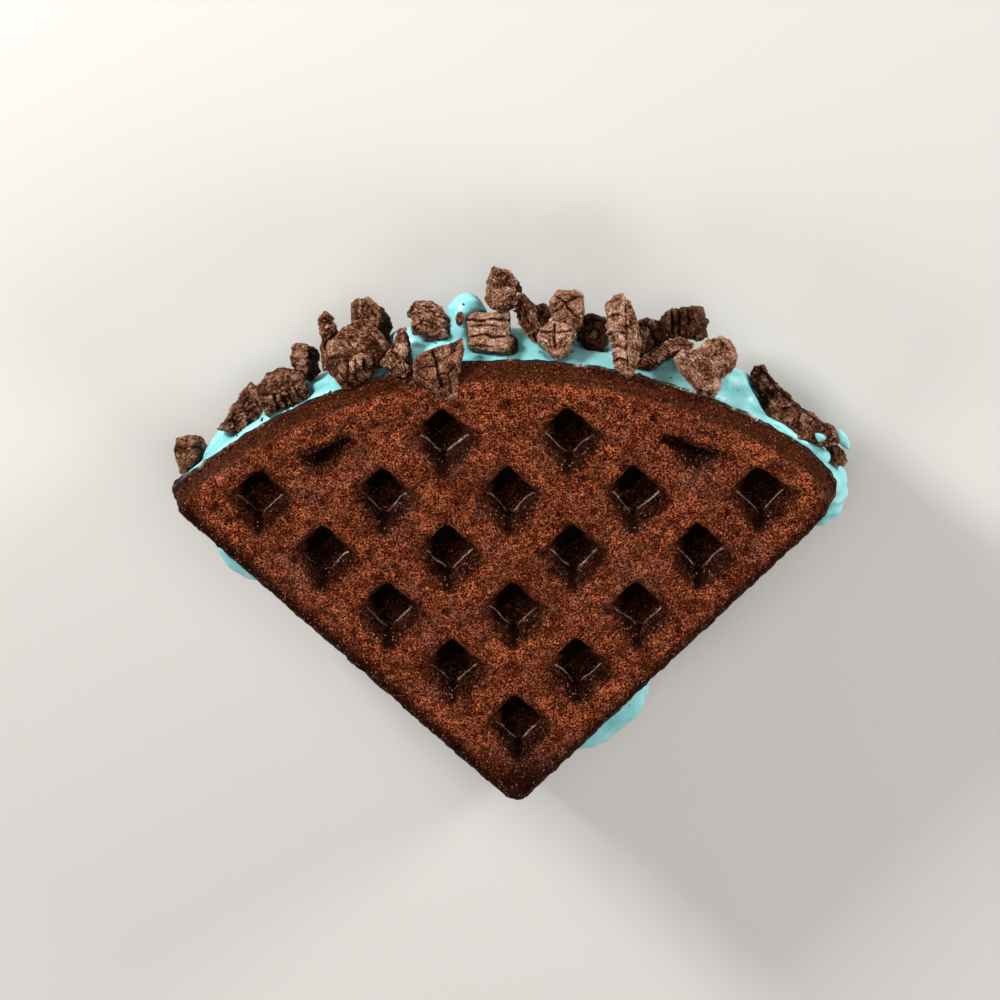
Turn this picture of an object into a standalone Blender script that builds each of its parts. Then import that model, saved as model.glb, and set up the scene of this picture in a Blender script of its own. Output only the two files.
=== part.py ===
"""A waffle sandwich, lying on its back waffle.

Two quarter-round cocoa waffles hold a thick slab of cream. Broken chocolate biscuit
pieces stick in the cream along the round side. The cream is squeezed out a little past
both straight sides and stands in a soft dollop near the middle of the round side.

Metres, Z up. The origin is on the underside of the back waffle, where two of its ribs
cross. X runs across the sandwich and Y runs from the pointed tip to the round side.
"""

import math
import random

import bmesh
import bpy
from mathutils import Matrix, Vector

MM = 0.001

# The waffle iron's grid, seen from the pointed tip, in mm
PITCH = 17.0
FIRST_POCKET = 11.56
POCKET_ROWS = 5
POCKET_DEPTH = 3.7
# Height above the face, half of the side, and corner radius of a pocket, from its floor up
POCKET_LEVELS = (
    (-POCKET_DEPTH, 3.2, 0.7),
    (-0.9, 4.2, 1.0),
    (-0.3, 4.55, 1.2),
    (0.05, 5.0, 1.6),
    (0.6, 5.9, 2.0),
)

# The waffle's outline and edge, in mm
ROUND_RADIUS = 95.2
ROUND_CENTRE = (0.4, -6.0)
LEFT_MARGIN = 2.7
RIGHT_MARGIN = 1.6
CORNER_STEPS = 4
CORNER_SPACE = 5.0
ROUND_STEPS = 42
WAFFLE_THICKNESS = 8.5
POCKET_BORDER = 6.2
POCKET_REACH = 5.0
POCKET_BORDER_SLOPE = 1.4
BORDER_STEPS = 120
BORDER_TOP = 0.9
# From the lip up: inset, height, and corner radius at the left end, right end and tip
EDGE_LEVELS = (
    (0.0, 0.0, 1.0, 4.5, 3.8),
    (0.0, 0.8, 1.0, 4.5, 3.8),
    (0.4, 1.15, 1.5, 4.5, 3.5),
    (0.9, 6.45, 2.2, 4.5, 3.1),
    (1.2, 7.55, 2.6, 4.5, 2.9),
    (1.7, 8.2, 3.0, 4.4, 2.6),
    (2.4, WAFFLE_THICKNESS, 3.4, 4.2, 2.2),
)

# The stack, in mm
CREAM_THICKNESS = 14.0
GAP = 0.3
CROSSING = 2.18 * PITCH * math.sqrt(2)
FRONT_SHIFT = (1.0, 5.0)

# The cream's side, in mm
CREAM_STEP = 2.7
CREAM_LEVELS = 9
CREAM_CORNERS = (2.0, 4.5, 3.8)
CREAM_TUCK = 0.8
CUT_SIDE_TUCK = 1.2
CREAM_BULGE = 2.1
# The bulge dies away over the last degrees before the two ends of the round side
BULGE_END = 42.0
BULGE_FADE = 6.0

# Swells of the cream: side, place along it, height, reach, half-length, half-height.
# Places on the round side are degrees right of its middle, and on a straight side mm
# from the tip.
SWELLS = (
    ("round", -41.0, 15.0, 1.0, 5.0, 6.0),
    ("round", -12.6, 11.5, 4.4, 3.0, 3.6),
    ("round", -8.0, 17.0, 2.0, 4.5, 4.5),
    ("round", 1.5, 13.0, 2.6, 6.5, 5.0),
    ("round", 19.5, 13.0, 3.2, 3.5, 4.0),
    ("round", 28.0, 14.5, 3.6, 3.6, 4.5),
    ("left", 71.0, 18.5, 7.0, 7.0, 3.6),
    ("left", 88.0, 18.0, 1.0, 3.0, 3.5),
    ("right", 21.5, 18.5, 7.4, 11.5, 3.6),
    ("right", 86.5, 18.0, 2.4, 3.5, 4.0),
)
DOLLOP_CENTRE = (-6.8, 46.6, 14.2)
DOLLOP_RADII = (4.3, 5.9, 4.6)

# The biscuit pieces, in mm
LEAN = math.radians(23.0)
PIECE_GAP = 0.4
MOST_SHARP = 1.6
WORN_RISE = 0.6
WORN_INSET = 0.55
ROUGH_STEP = 2.2
ROUGHNESS = 0.22
FLUTE_WIDTH = 1.57
FLUTE_DEPTH = 0.5
FLUTE_STEPS = 4
FLUTE_FULLNESS = 0.6

WAFFLE_COLOUR = (0.125, 0.032, 0.016, 1.0)
CREAM_COLOUR = (0.23, 0.66, 0.63, 1.0)
BISCUIT_COLOUR = (0.12, 0.066, 0.042, 1.0)


class Piece:
    """One broken biscuit piece.

    corners is its outline in mm, seen from the front. at is its middle, in mm. turn, tip
    and roll are degrees: in its own plane, leaning back, and about its upright axis.
    fluted counts the first sides of the outline that lie on the biscuit's fluted rim.
    """

    def __init__(self, number, at, thick, corners, turn=0, tip=0, roll=0, fluted=0):
        self.name = f"biscuit_piece_{number:02d}"
        self.seed = number
        self.at = Vector(at)
        self.thick = thick
        self.corners = corners
        self.turn = turn
        self.tip = tip
        self.roll = roll
        self.fluted = fluted


# From the left end of the round side to its right end
PIECES = (
    Piece(1, (-62.1, 20.0, 14.0), 5.0, (
        (-1.2, -4.2), (0.6, -3.3), (2.4, -1.4), (2.7, 1.8), (2.0, 2.8), (0.3, 3.3), (-1.7, 2.8),
        (-2.7, 0.5), (-2.2, -2.2)), roll=-20),
    Piece(2, (-51.4, 30.4, 16.0), 4.5, (
        (-4.3, -4.5), (-1.0, -5.0), (2.2, -3.6), (4.0, -1.2), (3.7, 3.2), (2.0, 4.5), (0.3, 2.6),
        (-2.7, -2.3)), roll=15),
    Piece(3, (-42.6, 34.5, 18.0), 4.2, (
        (-4.7, -3.8), (4.9, -3.4), (4.4, 1.6), (1.6, 4.8), (-2.6, 4.6), (-4.9, 1.2)),
        turn=19, tip=52, fluted=1),
    Piece(4, (-38.8, 38.8, 14.0), 5.0, (
        (-1.9, -2.9), (0.9, -3.9), (2.7, -2.0), (2.4, 2.4), (-0.3, 3.3), (-1.6, 3.1), (-2.2, 0.6)),
        roll=-18),
    Piece(5, (-33.9, 44.2, 14.0), 3.4, (
        (-0.9, -6.8), (1.6, -6.8), (1.4, -2.4), (2.0, -0.1), (1.7, 1.8), (0.5, 3.7), (-0.7, 4.3),
        (-1.7, 3.0), (-1.3, -0.8)), tip=-6),
    Piece(6, (-28.3, 42.0, 18.8), 4.9, (
        (-4.6, -5.6), (6.2, -4.9), (6.6, -0.4), (5.0, 4.6), (0.4, 6.4), (-4.0, 4.6), (-6.0, -0.4)),
        turn=24, tip=42, roll=-10, fluted=1),
    Piece(7, (-25.5, 46.3, 11.6), 4.4, (
        (-2.4, -5.6), (3.0, -5.2), (3.8, -1.6), (3.5, 0.4), (1.7, 2.6), (-0.6, 4.0), (-2.6, 4.1),
        (-3.8, 3.2), (-3.9, 0.4)), tip=-10, roll=24),
    Piece(8, (-19.8, 43.0, 21.6), 3.8, (
        (-3.4, -1.6), (-1.1, -4.2), (1.5, -4.8), (2.6, -3.5), (2.8, -0.6), (2.4, 2.4), (1.3, 4.9),
        (0.2, 4.9), (-0.5, 2.4), (-2.1, 0.4)), tip=8, roll=12),
    Piece(9, (-11.6, 41.9, 27.6), 3.0, (
        (1.6, -6.4), (3.9, -5.5), (4.1, -0.3), (4.7, 4.0), (4.4, 6.9), (2.0, 5.5), (-1.4, 4.4),
        (-3.9, 3.1), (-4.7, -1.2), (-3.3, -2.9), (-1.1, -4.8)), tip=26),
    Piece(10, (-14.4, 47.7, 14.6), 5.0, (
        (-2.2, -3.2), (0.4, -4.0), (3.8, -3.9), (4.1, -0.4), (3.1, 1.2), (1.7, 2.8), (-2.2, 3.2),
        (-4.0, 0.7), (-2.8, -0.6)), roll=-12, tip=10),
    Piece(11, (-2.1, 45.9, 18.0), 5.4, (
        (-3.7, -3.2), (-0.2, -3.7), (3.1, -4.2), (4.5, -3.9), (4.6, -1.3), (3.4, 0.2), (3.1, 4.1),
        (0.3, 3.5), (-2.4, 3.9), (-4.5, 2.6), (-4.1, -0.2)), roll=-14, tip=6),
    Piece(12, (0.1, 54.0, 12.6), 4.4, (
        (-3.2, -3.0), (0.4, -3.4), (3.2, -2.6), (3.5, -1.3), (2.7, 0.3), (1.3, 2.2), (-1.5, 3.0),
        (-2.6, 0.7)), tip=-8, roll=12),
    Piece(13, (0.1, 52.2, 17.6), 4.2, (
        (-1.9, -1.7), (0.6, -2.3), (2.8, -1.2), (2.9, 0.7), (0.6, 2.2), (-2.2, 1.8), (-3.2, 0.4)),
        tip=8),
    Piece(14, (4.9, 48.6, 16.6), 3.4, (
        (0.1, -3.5), (1.9, -5.2), (2.3, -2.3), (1.7, -0.1), (0.9, 2.4), (-0.5, 4.1), (-1.6, 4.6),
        (-2.6, 1.0), (-1.0, -1.8)), roll=-10),
    Piece(15, (7.3, 47.4, 12.6), 3.0, (
        (-0.9, -4.0), (1.3, -4.0), (1.4, 0.6), (0.3, 2.2), (-1.3, 1.9)), tip=-4),
    Piece(16, (12.3, 49.1, 14.0), 4.8, (
        (-2.2, -3.4), (1.3, -4.6), (3.2, -3.4), (3.5, -0.3), (3.2, 2.7), (1.6, 3.8), (-1.5, 3.4),
        (-3.3, 1.3), (-3.0, -1.2)), tip=-4, roll=8),
    Piece(17, (10.4, 45.0, 20.0), 4.2, (
        (-3.1, -0.5), (-1.4, -2.7), (0.4, -3.9), (2.4, -2.7), (3.4, -0.5), (3.7, 2.0), (1.9, 3.1),
        (-0.6, 3.6), (-2.8, 2.2), (-3.6, 0.6)), tip=12),
    Piece(18, (17.1, 44.0, 13.6), 4.6, (
        (-3.0, -1.6), (-0.5, -3.8), (2.0, -3.9), (3.4, 0.0), (2.8, 2.5), (0.3, 3.8), (-2.2, 3.4),
        (-3.3, 1.1)), tip=-6),
    Piece(19, (23.2, 46.2, 21.0), 4.0, (
        (-2.7, 2.8), (-1.5, -2.6), (-0.8, -6.7), (1.4, -8.1), (2.3, -7.3), (3.5, -2.5), (3.2, 1.5),
        (2.3, 4.2), (1.4, 6.6), (-0.4, 8.0), (-1.9, 7.5), (-3.5, 5.6)), tip=14, roll=10, fluted=2),
    Piece(20, (28.3, 43.3, 14.4), 4.8, (
        (-2.2, -4.4), (1.5, -3.6), (3.5, -0.5), (2.4, 1.5), (1.3, 3.0), (-0.9, 3.6), (-2.5, 2.8)),
        roll=10),
    Piece(21, (31.0, 41.3, 18.0), 3.6, (
        (-5.5, -2.6), (-2.9, -3.2), (-0.7, -2.1), (2.2, -0.3), (5.1, 0.5), (5.5, 1.8), (2.9, 3.1),
        (0.0, 2.2), (-2.9, 0.0), (-5.1, -1.2)), tip=6),
    Piece(22, (34.6, 44.9, 11.8), 4.4, (
        (-3.2, -2.4), (0.1, -2.6), (2.3, -3.1), (4.5, -2.7), (4.4, 0.6), (3.4, 3.0), (0.5, 3.2),
        (-2.1, 3.0), (-3.5, 2.3), (-4.6, 0.3)), tip=-6, roll=-8),
    Piece(23, (38.9, 39.8, 21.4), 4.6, (
        (-3.9, -2.2), (-1.0, -4.6), (1.3, -5.9), (2.8, -4.0), (2.9, -2.2), (4.5, -1.1), (6.0, 1.1),
        (5.9, 2.9), (4.5, 4.8), (2.3, 5.6), (0.5, 5.1), (-1.3, 3.3), (-4.2, 3.1), (-5.9, 1.1)), tip=11),
    Piece(24, (54.3, 29.3, 16.6), 4.8, (
        (-2.6, -2.6), (2.0, -6.2), (6.8, -7.5), (9.8, -6.6), (8.9, -3.8), (6.4, -2.7), (2.8, -0.1),
        (-0.9, 3.5), (-3.4, 6.0), (-4.5, 8.3), (-6.3, 8.1), (-7.1, 6.4), (-6.7, 4.4), (-5.0, 0.7))),
    Piece(25, (62.8, 19.9, 16.6), 3.8, (
        (-0.9, -1.8), (1.7, -2.6), (2.4, -1.5), (1.9, 0.4), (0.4, 1.8), (-2.5, 0.9)), roll=14),
)


def clear_scene():
    for item in list(bpy.data.objects):
        bpy.data.objects.remove(item, do_unlink=True)


def finish(name, colour, roughness):
    """A plain Principled material."""
    made = bpy.data.materials.new(name)
    made.use_nodes = True
    shader = made.node_tree.nodes["Principled BSDF"]
    shader.inputs["Base Color"].default_value = colour
    shader.inputs["Roughness"].default_value = roughness
    shader.inputs["Metallic"].default_value = 0.0
    made.diffuse_color = colour
    return made


def add_object(name, bm, material=None):
    """The bmesh, in mm, as an object of that name, in metres and in triangles."""
    bmesh.ops.triangulate(bm, faces=bm.faces)
    bmesh.ops.recalc_face_normals(bm, faces=bm.faces)
    bmesh.ops.scale(bm, vec=Vector((MM, MM, MM)), verts=bm.verts)
    mesh = bpy.data.meshes.new(name)
    bm.to_mesh(mesh)
    bm.free()
    if material:
        mesh.materials.append(material)
    made = bpy.data.objects.new(name, mesh)
    bpy.context.scene.collection.objects.link(made)
    return made


def combine(target, tool, operation, solver="EXACT"):
    """Applies one Boolean to the target and removes the tool."""
    step = target.modifiers.new(operation.lower(), "BOOLEAN")
    step.operation = operation
    step.solver = solver
    step.object = tool
    bpy.context.view_layer.update()
    shape = target.evaluated_get(bpy.context.evaluated_depsgraph_get())
    result = bpy.data.meshes.new_from_object(shape)
    target.modifiers.clear()
    target.data = result
    bpy.data.objects.remove(tool, do_unlink=True)


# Outlines

def grid_point(right, left):
    """The place at these distances from the grid's corner, along its right and left axis."""
    return Vector(((right - left) / math.sqrt(2), (right + left) / math.sqrt(2)))


def rounded_corner(before, corner, after, radius):
    """The corner as an arc, between points one radius away from it."""
    start = (before - corner).normalized()
    end = (after - corner).normalized()
    half = start.angle(end) / 2
    centre = corner + (start + end).normalized() * radius / math.cos(half)
    first = corner + start * radius - centre
    sweep = math.pi - 2 * half
    curve = []
    for step in range(CORNER_STEPS + 1):
        turn = Matrix.Rotation(sweep * step / CORNER_STEPS, 2)
        curve.append(centre + turn @ first)
    return curve


def wedge_outline(inset, left_corner, right_corner, tip_corner):
    """The quarter round, anticlockwise from its pointed tip, with its corners rounded."""
    centre = Vector(ROUND_CENTRE)
    radius = ROUND_RADIUS - inset
    left_edge = inset - LEFT_MARGIN
    right_edge = inset - RIGHT_MARGIN
    centre_right = (centre.x + centre.y) / math.sqrt(2)
    centre_left = (centre.y - centre.x) / math.sqrt(2)
    reach_right = centre_right + math.sqrt(radius**2 - (right_edge - centre_left) ** 2)
    reach_left = centre_left + math.sqrt(radius**2 - (left_edge - centre_right) ** 2)
    tip = grid_point(left_edge, right_edge)
    right = grid_point(reach_right, right_edge)
    left = grid_point(left_edge, reach_left)

    first = math.atan2(right.y - centre.y, right.x - centre.x) + CORNER_SPACE / radius
    last = math.atan2(left.y - centre.y, left.x - centre.x) - CORNER_SPACE / radius
    arc = []
    for step in range(ROUND_STEPS):
        angle = first + (last - first) * step / (ROUND_STEPS - 1)
        arc.append(centre + Vector((math.cos(angle), math.sin(angle))) * radius)
    return (rounded_corner(left, tip, right, tip_corner)
            + rounded_corner(tip, right, arc[0], right_corner) + arc
            + rounded_corner(arc[-1], left, tip, left_corner))


def evenly_spaced(outline, step):
    """The closed outline again, with its points about one step apart."""
    ends = outline[1:] + outline[:1]
    lengths = [(end - start).length for start, end in zip(outline, ends)]
    count = round(sum(lengths) / step)
    spacing = sum(lengths) / count
    points = []
    walked = 0.0
    for start, end, length in zip(outline, ends, lengths):
        while len(points) < count and len(points) * spacing < walked + length:
            points.append(start.lerp(end, (len(points) * spacing - walked) / length))
        walked += length
    return points


def outward(points, index):
    """The outward direction at one point of an anticlockwise outline."""
    along = points[(index + 1) % len(points)] - points[index - 1]
    return Vector((along.y, -along.x)).normalized()


def loft(bm, rings):
    """A closed body through rings that each have as many points."""
    loops = [[bm.verts.new(point) for point in ring] for ring in rings]
    for loop in loops:
        for start, end in zip(loop, loop[1:] + loop[:1]):
            bm.edges.new((start, end))
    for lower, upper in zip(loops, loops[1:]):
        edges = [edge for edge in bm.edges if
                 all(vert in lower for vert in edge.verts) or all(vert in upper for vert in edge.verts)]
        bmesh.ops.bridge_loops(bm, edges=edges)
    bm.faces.new(loops[0])
    bm.faces.new(loops[-1])


# The waffles

def waffle_blank(name, material=None):
    """A waffle without its pockets: inner face at height 0, outer face on top."""
    bm = bmesh.new()
    rings = []
    for inset, height, left_corner, right_corner, tip_corner in EDGE_LEVELS:
        outline = wedge_outline(inset, left_corner, right_corner, tip_corner)
        rings.append([(point.x, point.y, height) for point in outline])
    loft(bm, rings)
    return add_object(name, bm, material)


def rounded_square(half, radius, height):
    """A square on its point, with two short steps round each corner."""
    ring = []
    for quarter in range(4):
        turn = math.pi / 4 + quarter * math.pi / 2
        for step in (-1, 0, 1):
            angle = turn + step * math.pi / 4
            ring.append(Vector((
                (half - radius) * math.sqrt(2) * math.cos(turn) + radius * math.cos(angle),
                (half - radius) * math.sqrt(2) * math.sin(turn) + radius * math.sin(angle),
                height)))
    return [Matrix.Rotation(math.pi / 4, 3, "Z") @ point for point in ring]


def pocket_cutter(name, rows):
    """The pockets at these places of the grid, as one cutter above a waffle's outer face."""
    bm = bmesh.new()
    for row, column in rows:
        place = grid_point(FIRST_POCKET + row * PITCH, FIRST_POCKET + column * PITCH)
        shift = Vector((place.x, place.y, WAFFLE_THICKNESS))
        loft(bm, [[point + shift for point in rounded_square(half, radius, height)]
                  for height, half, radius in POCKET_LEVELS])
    return add_object(name, bm)


def pocket_cutters():
    """The whole pockets, and those cut off where the border along the round side starts."""
    centre = Vector(ROUND_CENTRE)
    whole = []
    cut_off = []
    for row in range(POCKET_ROWS):
        for column in range(POCKET_ROWS):
            place = grid_point(FIRST_POCKET + row * PITCH, FIRST_POCKET + column * PITCH)
            to_rim = ROUND_RADIUS - (place - centre).length
            if to_rim > POCKET_BORDER:
                whole.append((row, column))
            elif to_rim > POCKET_REACH:
                cut_off.append((row, column))

    bm = bmesh.new()
    depth = POCKET_DEPTH + 2 * BORDER_TOP
    opening = ROUND_RADIUS - POCKET_BORDER
    bmesh.ops.create_cone(
        bm, cap_ends=True, segments=BORDER_STEPS, depth=depth,
        radius1=opening - POCKET_BORDER_SLOPE, radius2=opening)
    middle = WAFFLE_THICKNESS + BORDER_TOP - depth / 2
    bmesh.ops.translate(bm, vec=Vector((centre.x, centre.y, middle)), verts=bm.verts)
    halves = pocket_cutter("cut_off_pockets", cut_off)
    combine(halves, add_object("border", bm), "INTERSECT")
    return pocket_cutter("pockets", whole), halves


def waffle(name, material):
    """A waffle with its pockets cut."""
    made = waffle_blank(name, material)
    for cutter in pocket_cutters():
        combine(made, cutter, "DIFFERENCE")
    return made


def place_waffle(waffle, front):
    """The front waffle's pockets face up and the back waffle's face down."""
    corner = Vector((0.0, -CROSSING, WAFFLE_THICKNESS))
    if front:
        corner += Vector((FRONT_SHIFT[0], FRONT_SHIFT[1], CREAM_THICKNESS))
    else:
        waffle.rotation_euler.y = math.pi
    waffle.location = corner * MM


# The cream

def cream_swell(side, place, height):
    """How far the swells push the cream out at one place of its side."""
    reach = 0.0
    for swell_side, swell_place, swell_height, most, half_length, half_height in SWELLS:
        if swell_side == side:
            across = (place - swell_place) / half_length
            upright = (height - swell_height) / half_height
            reach += most * math.exp(-across**4 - upright**2)
    return reach


def cream_side(point):
    """Which side of the wedge a point of its outline is on, and its place along it."""
    centre = Vector(ROUND_CENTRE)
    if (point - centre).length > ROUND_RADIUS - 0.5:
        return "round", math.degrees(math.atan2(point.x, point.y))
    return ("right" if point.x > 0 else "left"), point.length


def cream(material):
    """The slab between the waffles, with its bulging side, its swells and the dollop."""
    outline = evenly_spaced(wedge_outline(0.0, *CREAM_CORNERS), CREAM_STEP)
    low = WAFFLE_THICKNESS + GAP
    high = WAFFLE_THICKNESS + CREAM_THICKNESS - GAP
    corner = Vector((FRONT_SHIFT[0], FRONT_SHIFT[1] - CROSSING))
    rings = []
    for level in range(CREAM_LEVELS):
        angle = math.pi * level / (CREAM_LEVELS - 1)
        height = (low + high) / 2 - (high - low) / 2 * math.cos(angle)
        fullness = math.sin(angle)
        ring = []
        for index, point in enumerate(outline):
            side, place = cream_side(point)
            if side == "round":
                fade = min(max((BULGE_END - abs(place)) / BULGE_FADE, 0.0), 1.0)
                offset = CREAM_BULGE * fullness * fade - CREAM_TUCK
            else:
                offset = -CUT_SIDE_TUCK
            offset += cream_swell(side, place, height) * fullness**0.5
            moved = point + outward(outline, index) * offset + corner
            ring.append((moved.x, moved.y, height))
        rings.append(ring)
    bm = bmesh.new()
    loft(bm, rings)
    slab = add_object("filling", bm, material)

    bm = bmesh.new()
    bmesh.ops.create_icosphere(bm, subdivisions=3, radius=1.0)
    bmesh.ops.scale(bm, vec=Vector(DOLLOP_RADII), verts=bm.verts)
    bmesh.ops.translate(bm, vec=Vector(DOLLOP_CENTRE), verts=bm.verts)
    combine(slab, add_object("dollop", bm), "UNION")
    return slab


# The biscuit pieces

def broken_outline(piece, draw):
    """The piece's outline with rough broken sides, and flutes on the biscuit's own rim."""
    corners = [Vector(corner) for corner in piece.corners]
    points = []
    for number, (start, end) in enumerate(zip(corners, corners[1:] + corners[:1])):
        along = end - start
        out = Vector((along.y, -along.x)).normalized()
        if number < piece.fluted:
            flutes = max(1, round(along.length / FLUTE_WIDTH))
            for step in range(flutes * FLUTE_STEPS):
                rise = abs(math.sin(math.pi * step / FLUTE_STEPS)) ** FLUTE_FULLNESS * FLUTE_DEPTH
                points.append(start + along * step / (flutes * FLUTE_STEPS) + out * rise)
        else:
            steps = max(1, round(along.length / ROUGH_STEP))
            for step in range(steps):
                push = draw.uniform(-ROUGHNESS, ROUGHNESS) if step else 0.0
                points.append(start + along * step / steps + out * push)
    return points


def biscuit_piece(piece, material):
    """A thick broken plate with worn edges and uneven faces."""
    draw = random.Random(piece.seed)
    bm = bmesh.new()
    outline = broken_outline(piece, draw)
    low = WORN_RISE - piece.thick / 2
    back = bm.faces.new([bm.verts.new((point.x, point.y, low)) for point in outline])
    raised = bmesh.ops.extrude_face_region(bm, geom=[back], use_keep_orig=True)["geom"]
    front = next(item for item in raised if isinstance(item, bmesh.types.BMFace))
    bmesh.ops.translate(bm, vec=Vector((0, 0, -2 * low)), verts=front.verts)
    bmesh.ops.recalc_face_normals(bm, faces=bm.faces)
    for face in (back, front):
        bmesh.ops.inset_region(
            bm, faces=[face], thickness=WORN_INSET, depth=WORN_RISE, use_even_offset=False)
        for vert in face.verts:
            vert.co.z += draw.uniform(-ROUGHNESS, ROUGHNESS)
    made = add_object(piece.name, bm, material)
    pose = (Matrix.Rotation(-LEAN, 3, "X") @ Matrix.Rotation(math.radians(piece.turn), 3, "Z")
            @ Matrix.Rotation(-math.radians(piece.tip), 3, "X")
            @ Matrix.Rotation(math.radians(piece.roll), 3, "Y"))
    made.rotation_euler = pose.to_euler()
    made.location = piece.at * MM
    return made


def grown_copy(source, distance):
    """A copy whose surface stands off by a distance in metres, to cut a neighbour with."""
    bm = bmesh.new()
    bm.from_mesh(source.data)
    moves = [vert.normal * distance * min(vert.calc_shell_factor(), MOST_SHARP) for vert in bm.verts]
    for vert, move in zip(bm.verts, moves):
        vert.co += move
    mesh = bpy.data.meshes.new("cutter")
    bm.to_mesh(mesh)
    bm.free()
    copy = bpy.data.objects.new("cutter", mesh)
    copy.matrix_world = source.matrix_world
    bpy.context.scene.collection.objects.link(copy)
    return copy


def boxes_meet(one, other, distance):
    """Whether the two objects' boxes come closer than a distance in metres."""
    bpy.context.view_layer.update()
    for axis in range(3):
        spans = []
        for item in (one, other):
            values = [(item.matrix_world @ Vector(corner))[axis] for corner in item.bound_box]
            spans.append((min(values), max(values)))
        if spans[0][0] > spans[1][1] + distance or spans[1][0] > spans[0][1] + distance:
            return False
    return True


def keep_largest(item):
    """Drops the loose scraps that a cut leaves."""
    bm = bmesh.new()
    bm.from_mesh(item.data)
    left = set(bm.verts)
    groups = []
    while left:
        group = {left.pop()}
        waiting = list(group)
        while waiting:
            vert = waiting.pop()
            for edge in vert.link_edges:
                other = edge.other_vert(vert)
                if other in left:
                    left.remove(other)
                    group.add(other)
                    waiting.append(other)
        groups.append(group)
    groups.sort(key=len)
    scraps = [vert for group in groups[:-1] for vert in group]
    bmesh.ops.delete(bm, geom=scraps, context="VERTS")
    bm.to_mesh(item.data)
    bm.free()


def main():
    clear_scene()
    waffle_finish = finish("cocoa_waffle", WAFFLE_COLOUR, 0.55)
    cream_finish = finish("cream", CREAM_COLOUR, 0.4)
    biscuit_finish = finish("chocolate_biscuit", BISCUIT_COLOUR, 0.7)

    blanks = []
    for name, front in (("waffle_front", True), ("waffle_back", False)):
        place_waffle(waffle(name, waffle_finish), front)
        blank = waffle_blank(f"{name}_blank")
        place_waffle(blank, front)
        blanks.append(blank)

    pieces = []
    for piece in sorted(PIECES, key=lambda item: -item.at.z):
        made = biscuit_piece(piece, biscuit_finish)
        for neighbour in blanks + pieces:
            if boxes_meet(made, neighbour, PIECE_GAP * MM):
                combine(made, grown_copy(neighbour, PIECE_GAP * MM), "DIFFERENCE", "MANIFOLD")
        keep_largest(made)
        pieces.append(made)
    for blank in blanks:
        bpy.data.objects.remove(blank, do_unlink=True)

    filling = cream(cream_finish)
    for made in pieces:
        combine(filling, grown_copy(made, PIECE_GAP * MM), "DIFFERENCE", "MANIFOLD")
    keep_largest(filling)
    filling.data.shade_smooth()


main()
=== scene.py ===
# %% [markdown]
# # Dressing a waffle sandwich
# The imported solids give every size: two quarter-round waffles, the cream between them
# and the broken biscuit along the round side. Each solid is copied, given small even
# faces and shaped until it looks baked, whipped or broken. The solids never move.

# %% Load the solids
import itertools
import math
import random

import bmesh
import bpy
import numpy as np
from mathutils import Matrix, Vector, noise


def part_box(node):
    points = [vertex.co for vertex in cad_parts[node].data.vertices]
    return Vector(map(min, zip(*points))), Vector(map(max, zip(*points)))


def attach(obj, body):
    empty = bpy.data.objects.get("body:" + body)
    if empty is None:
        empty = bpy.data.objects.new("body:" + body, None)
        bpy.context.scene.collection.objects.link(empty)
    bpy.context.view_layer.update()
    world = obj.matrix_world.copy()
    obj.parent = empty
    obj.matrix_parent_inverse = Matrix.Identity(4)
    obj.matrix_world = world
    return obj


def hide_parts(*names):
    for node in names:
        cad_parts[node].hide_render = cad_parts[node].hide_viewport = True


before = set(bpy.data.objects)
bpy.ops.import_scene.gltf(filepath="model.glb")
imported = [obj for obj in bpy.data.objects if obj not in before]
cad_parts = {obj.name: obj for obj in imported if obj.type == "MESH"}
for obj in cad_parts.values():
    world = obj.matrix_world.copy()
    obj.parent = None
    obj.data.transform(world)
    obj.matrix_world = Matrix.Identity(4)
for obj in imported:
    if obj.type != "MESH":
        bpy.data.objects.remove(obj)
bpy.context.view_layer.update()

MM = 0.001
print("solids:", len(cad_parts))

# %% [markdown]
# ## Camera
# The picture was taken with a long lens from a little over a metre, slightly right of
# the middle. Two directions and the point aimed at place the camera, because typed
# angles are hard to read for an object that lies on its back.

# %% Place the camera
TOWARD_CAMERA = Vector((0.0818, 0.3920, 0.9163)).normalized()
PICTURE_UP = Vector((0.0060, 0.9192, -0.3937)).normalized()
PICTURE_RIGHT = PICTURE_UP.cross(TOWARD_CAMERA).normalized()
AIM = Vector((-3.35, 2.98, -0.95)) * MM
CAMERA_DISTANCE = 1.1
LENS = 200.93
FILM_WIDTH = 36.0


def link(name, data):
    """A new object in the scene with this camera, mesh or light."""
    item = bpy.data.objects.new(name, data)
    bpy.context.scene.collection.objects.link(item)
    return item


camera_data = bpy.data.cameras.new("camera")
camera_data.lens = LENS
camera_data.sensor_width = FILM_WIDTH
camera = link("camera", camera_data)
turn = Matrix((PICTURE_RIGHT, PICTURE_UP, TOWARD_CAMERA)).transposed().to_4x4()
camera.matrix_world = Matrix.Translation(AIM + TOWARD_CAMERA * CAMERA_DISTANCE) @ turn
bpy.context.scene.camera = camera
print("camera at", [round(value, 3) for value in camera.matrix_world.translation])

# %% [markdown]
# ## Even faces
# A solid has few, long triangles, and relief needs many small ones. A voxel remesh
# wraps the shape in even quads and needs no seam or pole to be planned. A subdivision
# would keep the long triangles and crease along them.

# %% Copy a solid with small even faces
MERGE = 1e-6


def new_piece(name, bm):
    """A new object in the scene with the shape of this bmesh."""
    mesh = bpy.data.meshes.new(name)
    bm.to_mesh(mesh)
    bm.free()
    return link(name, mesh)


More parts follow.
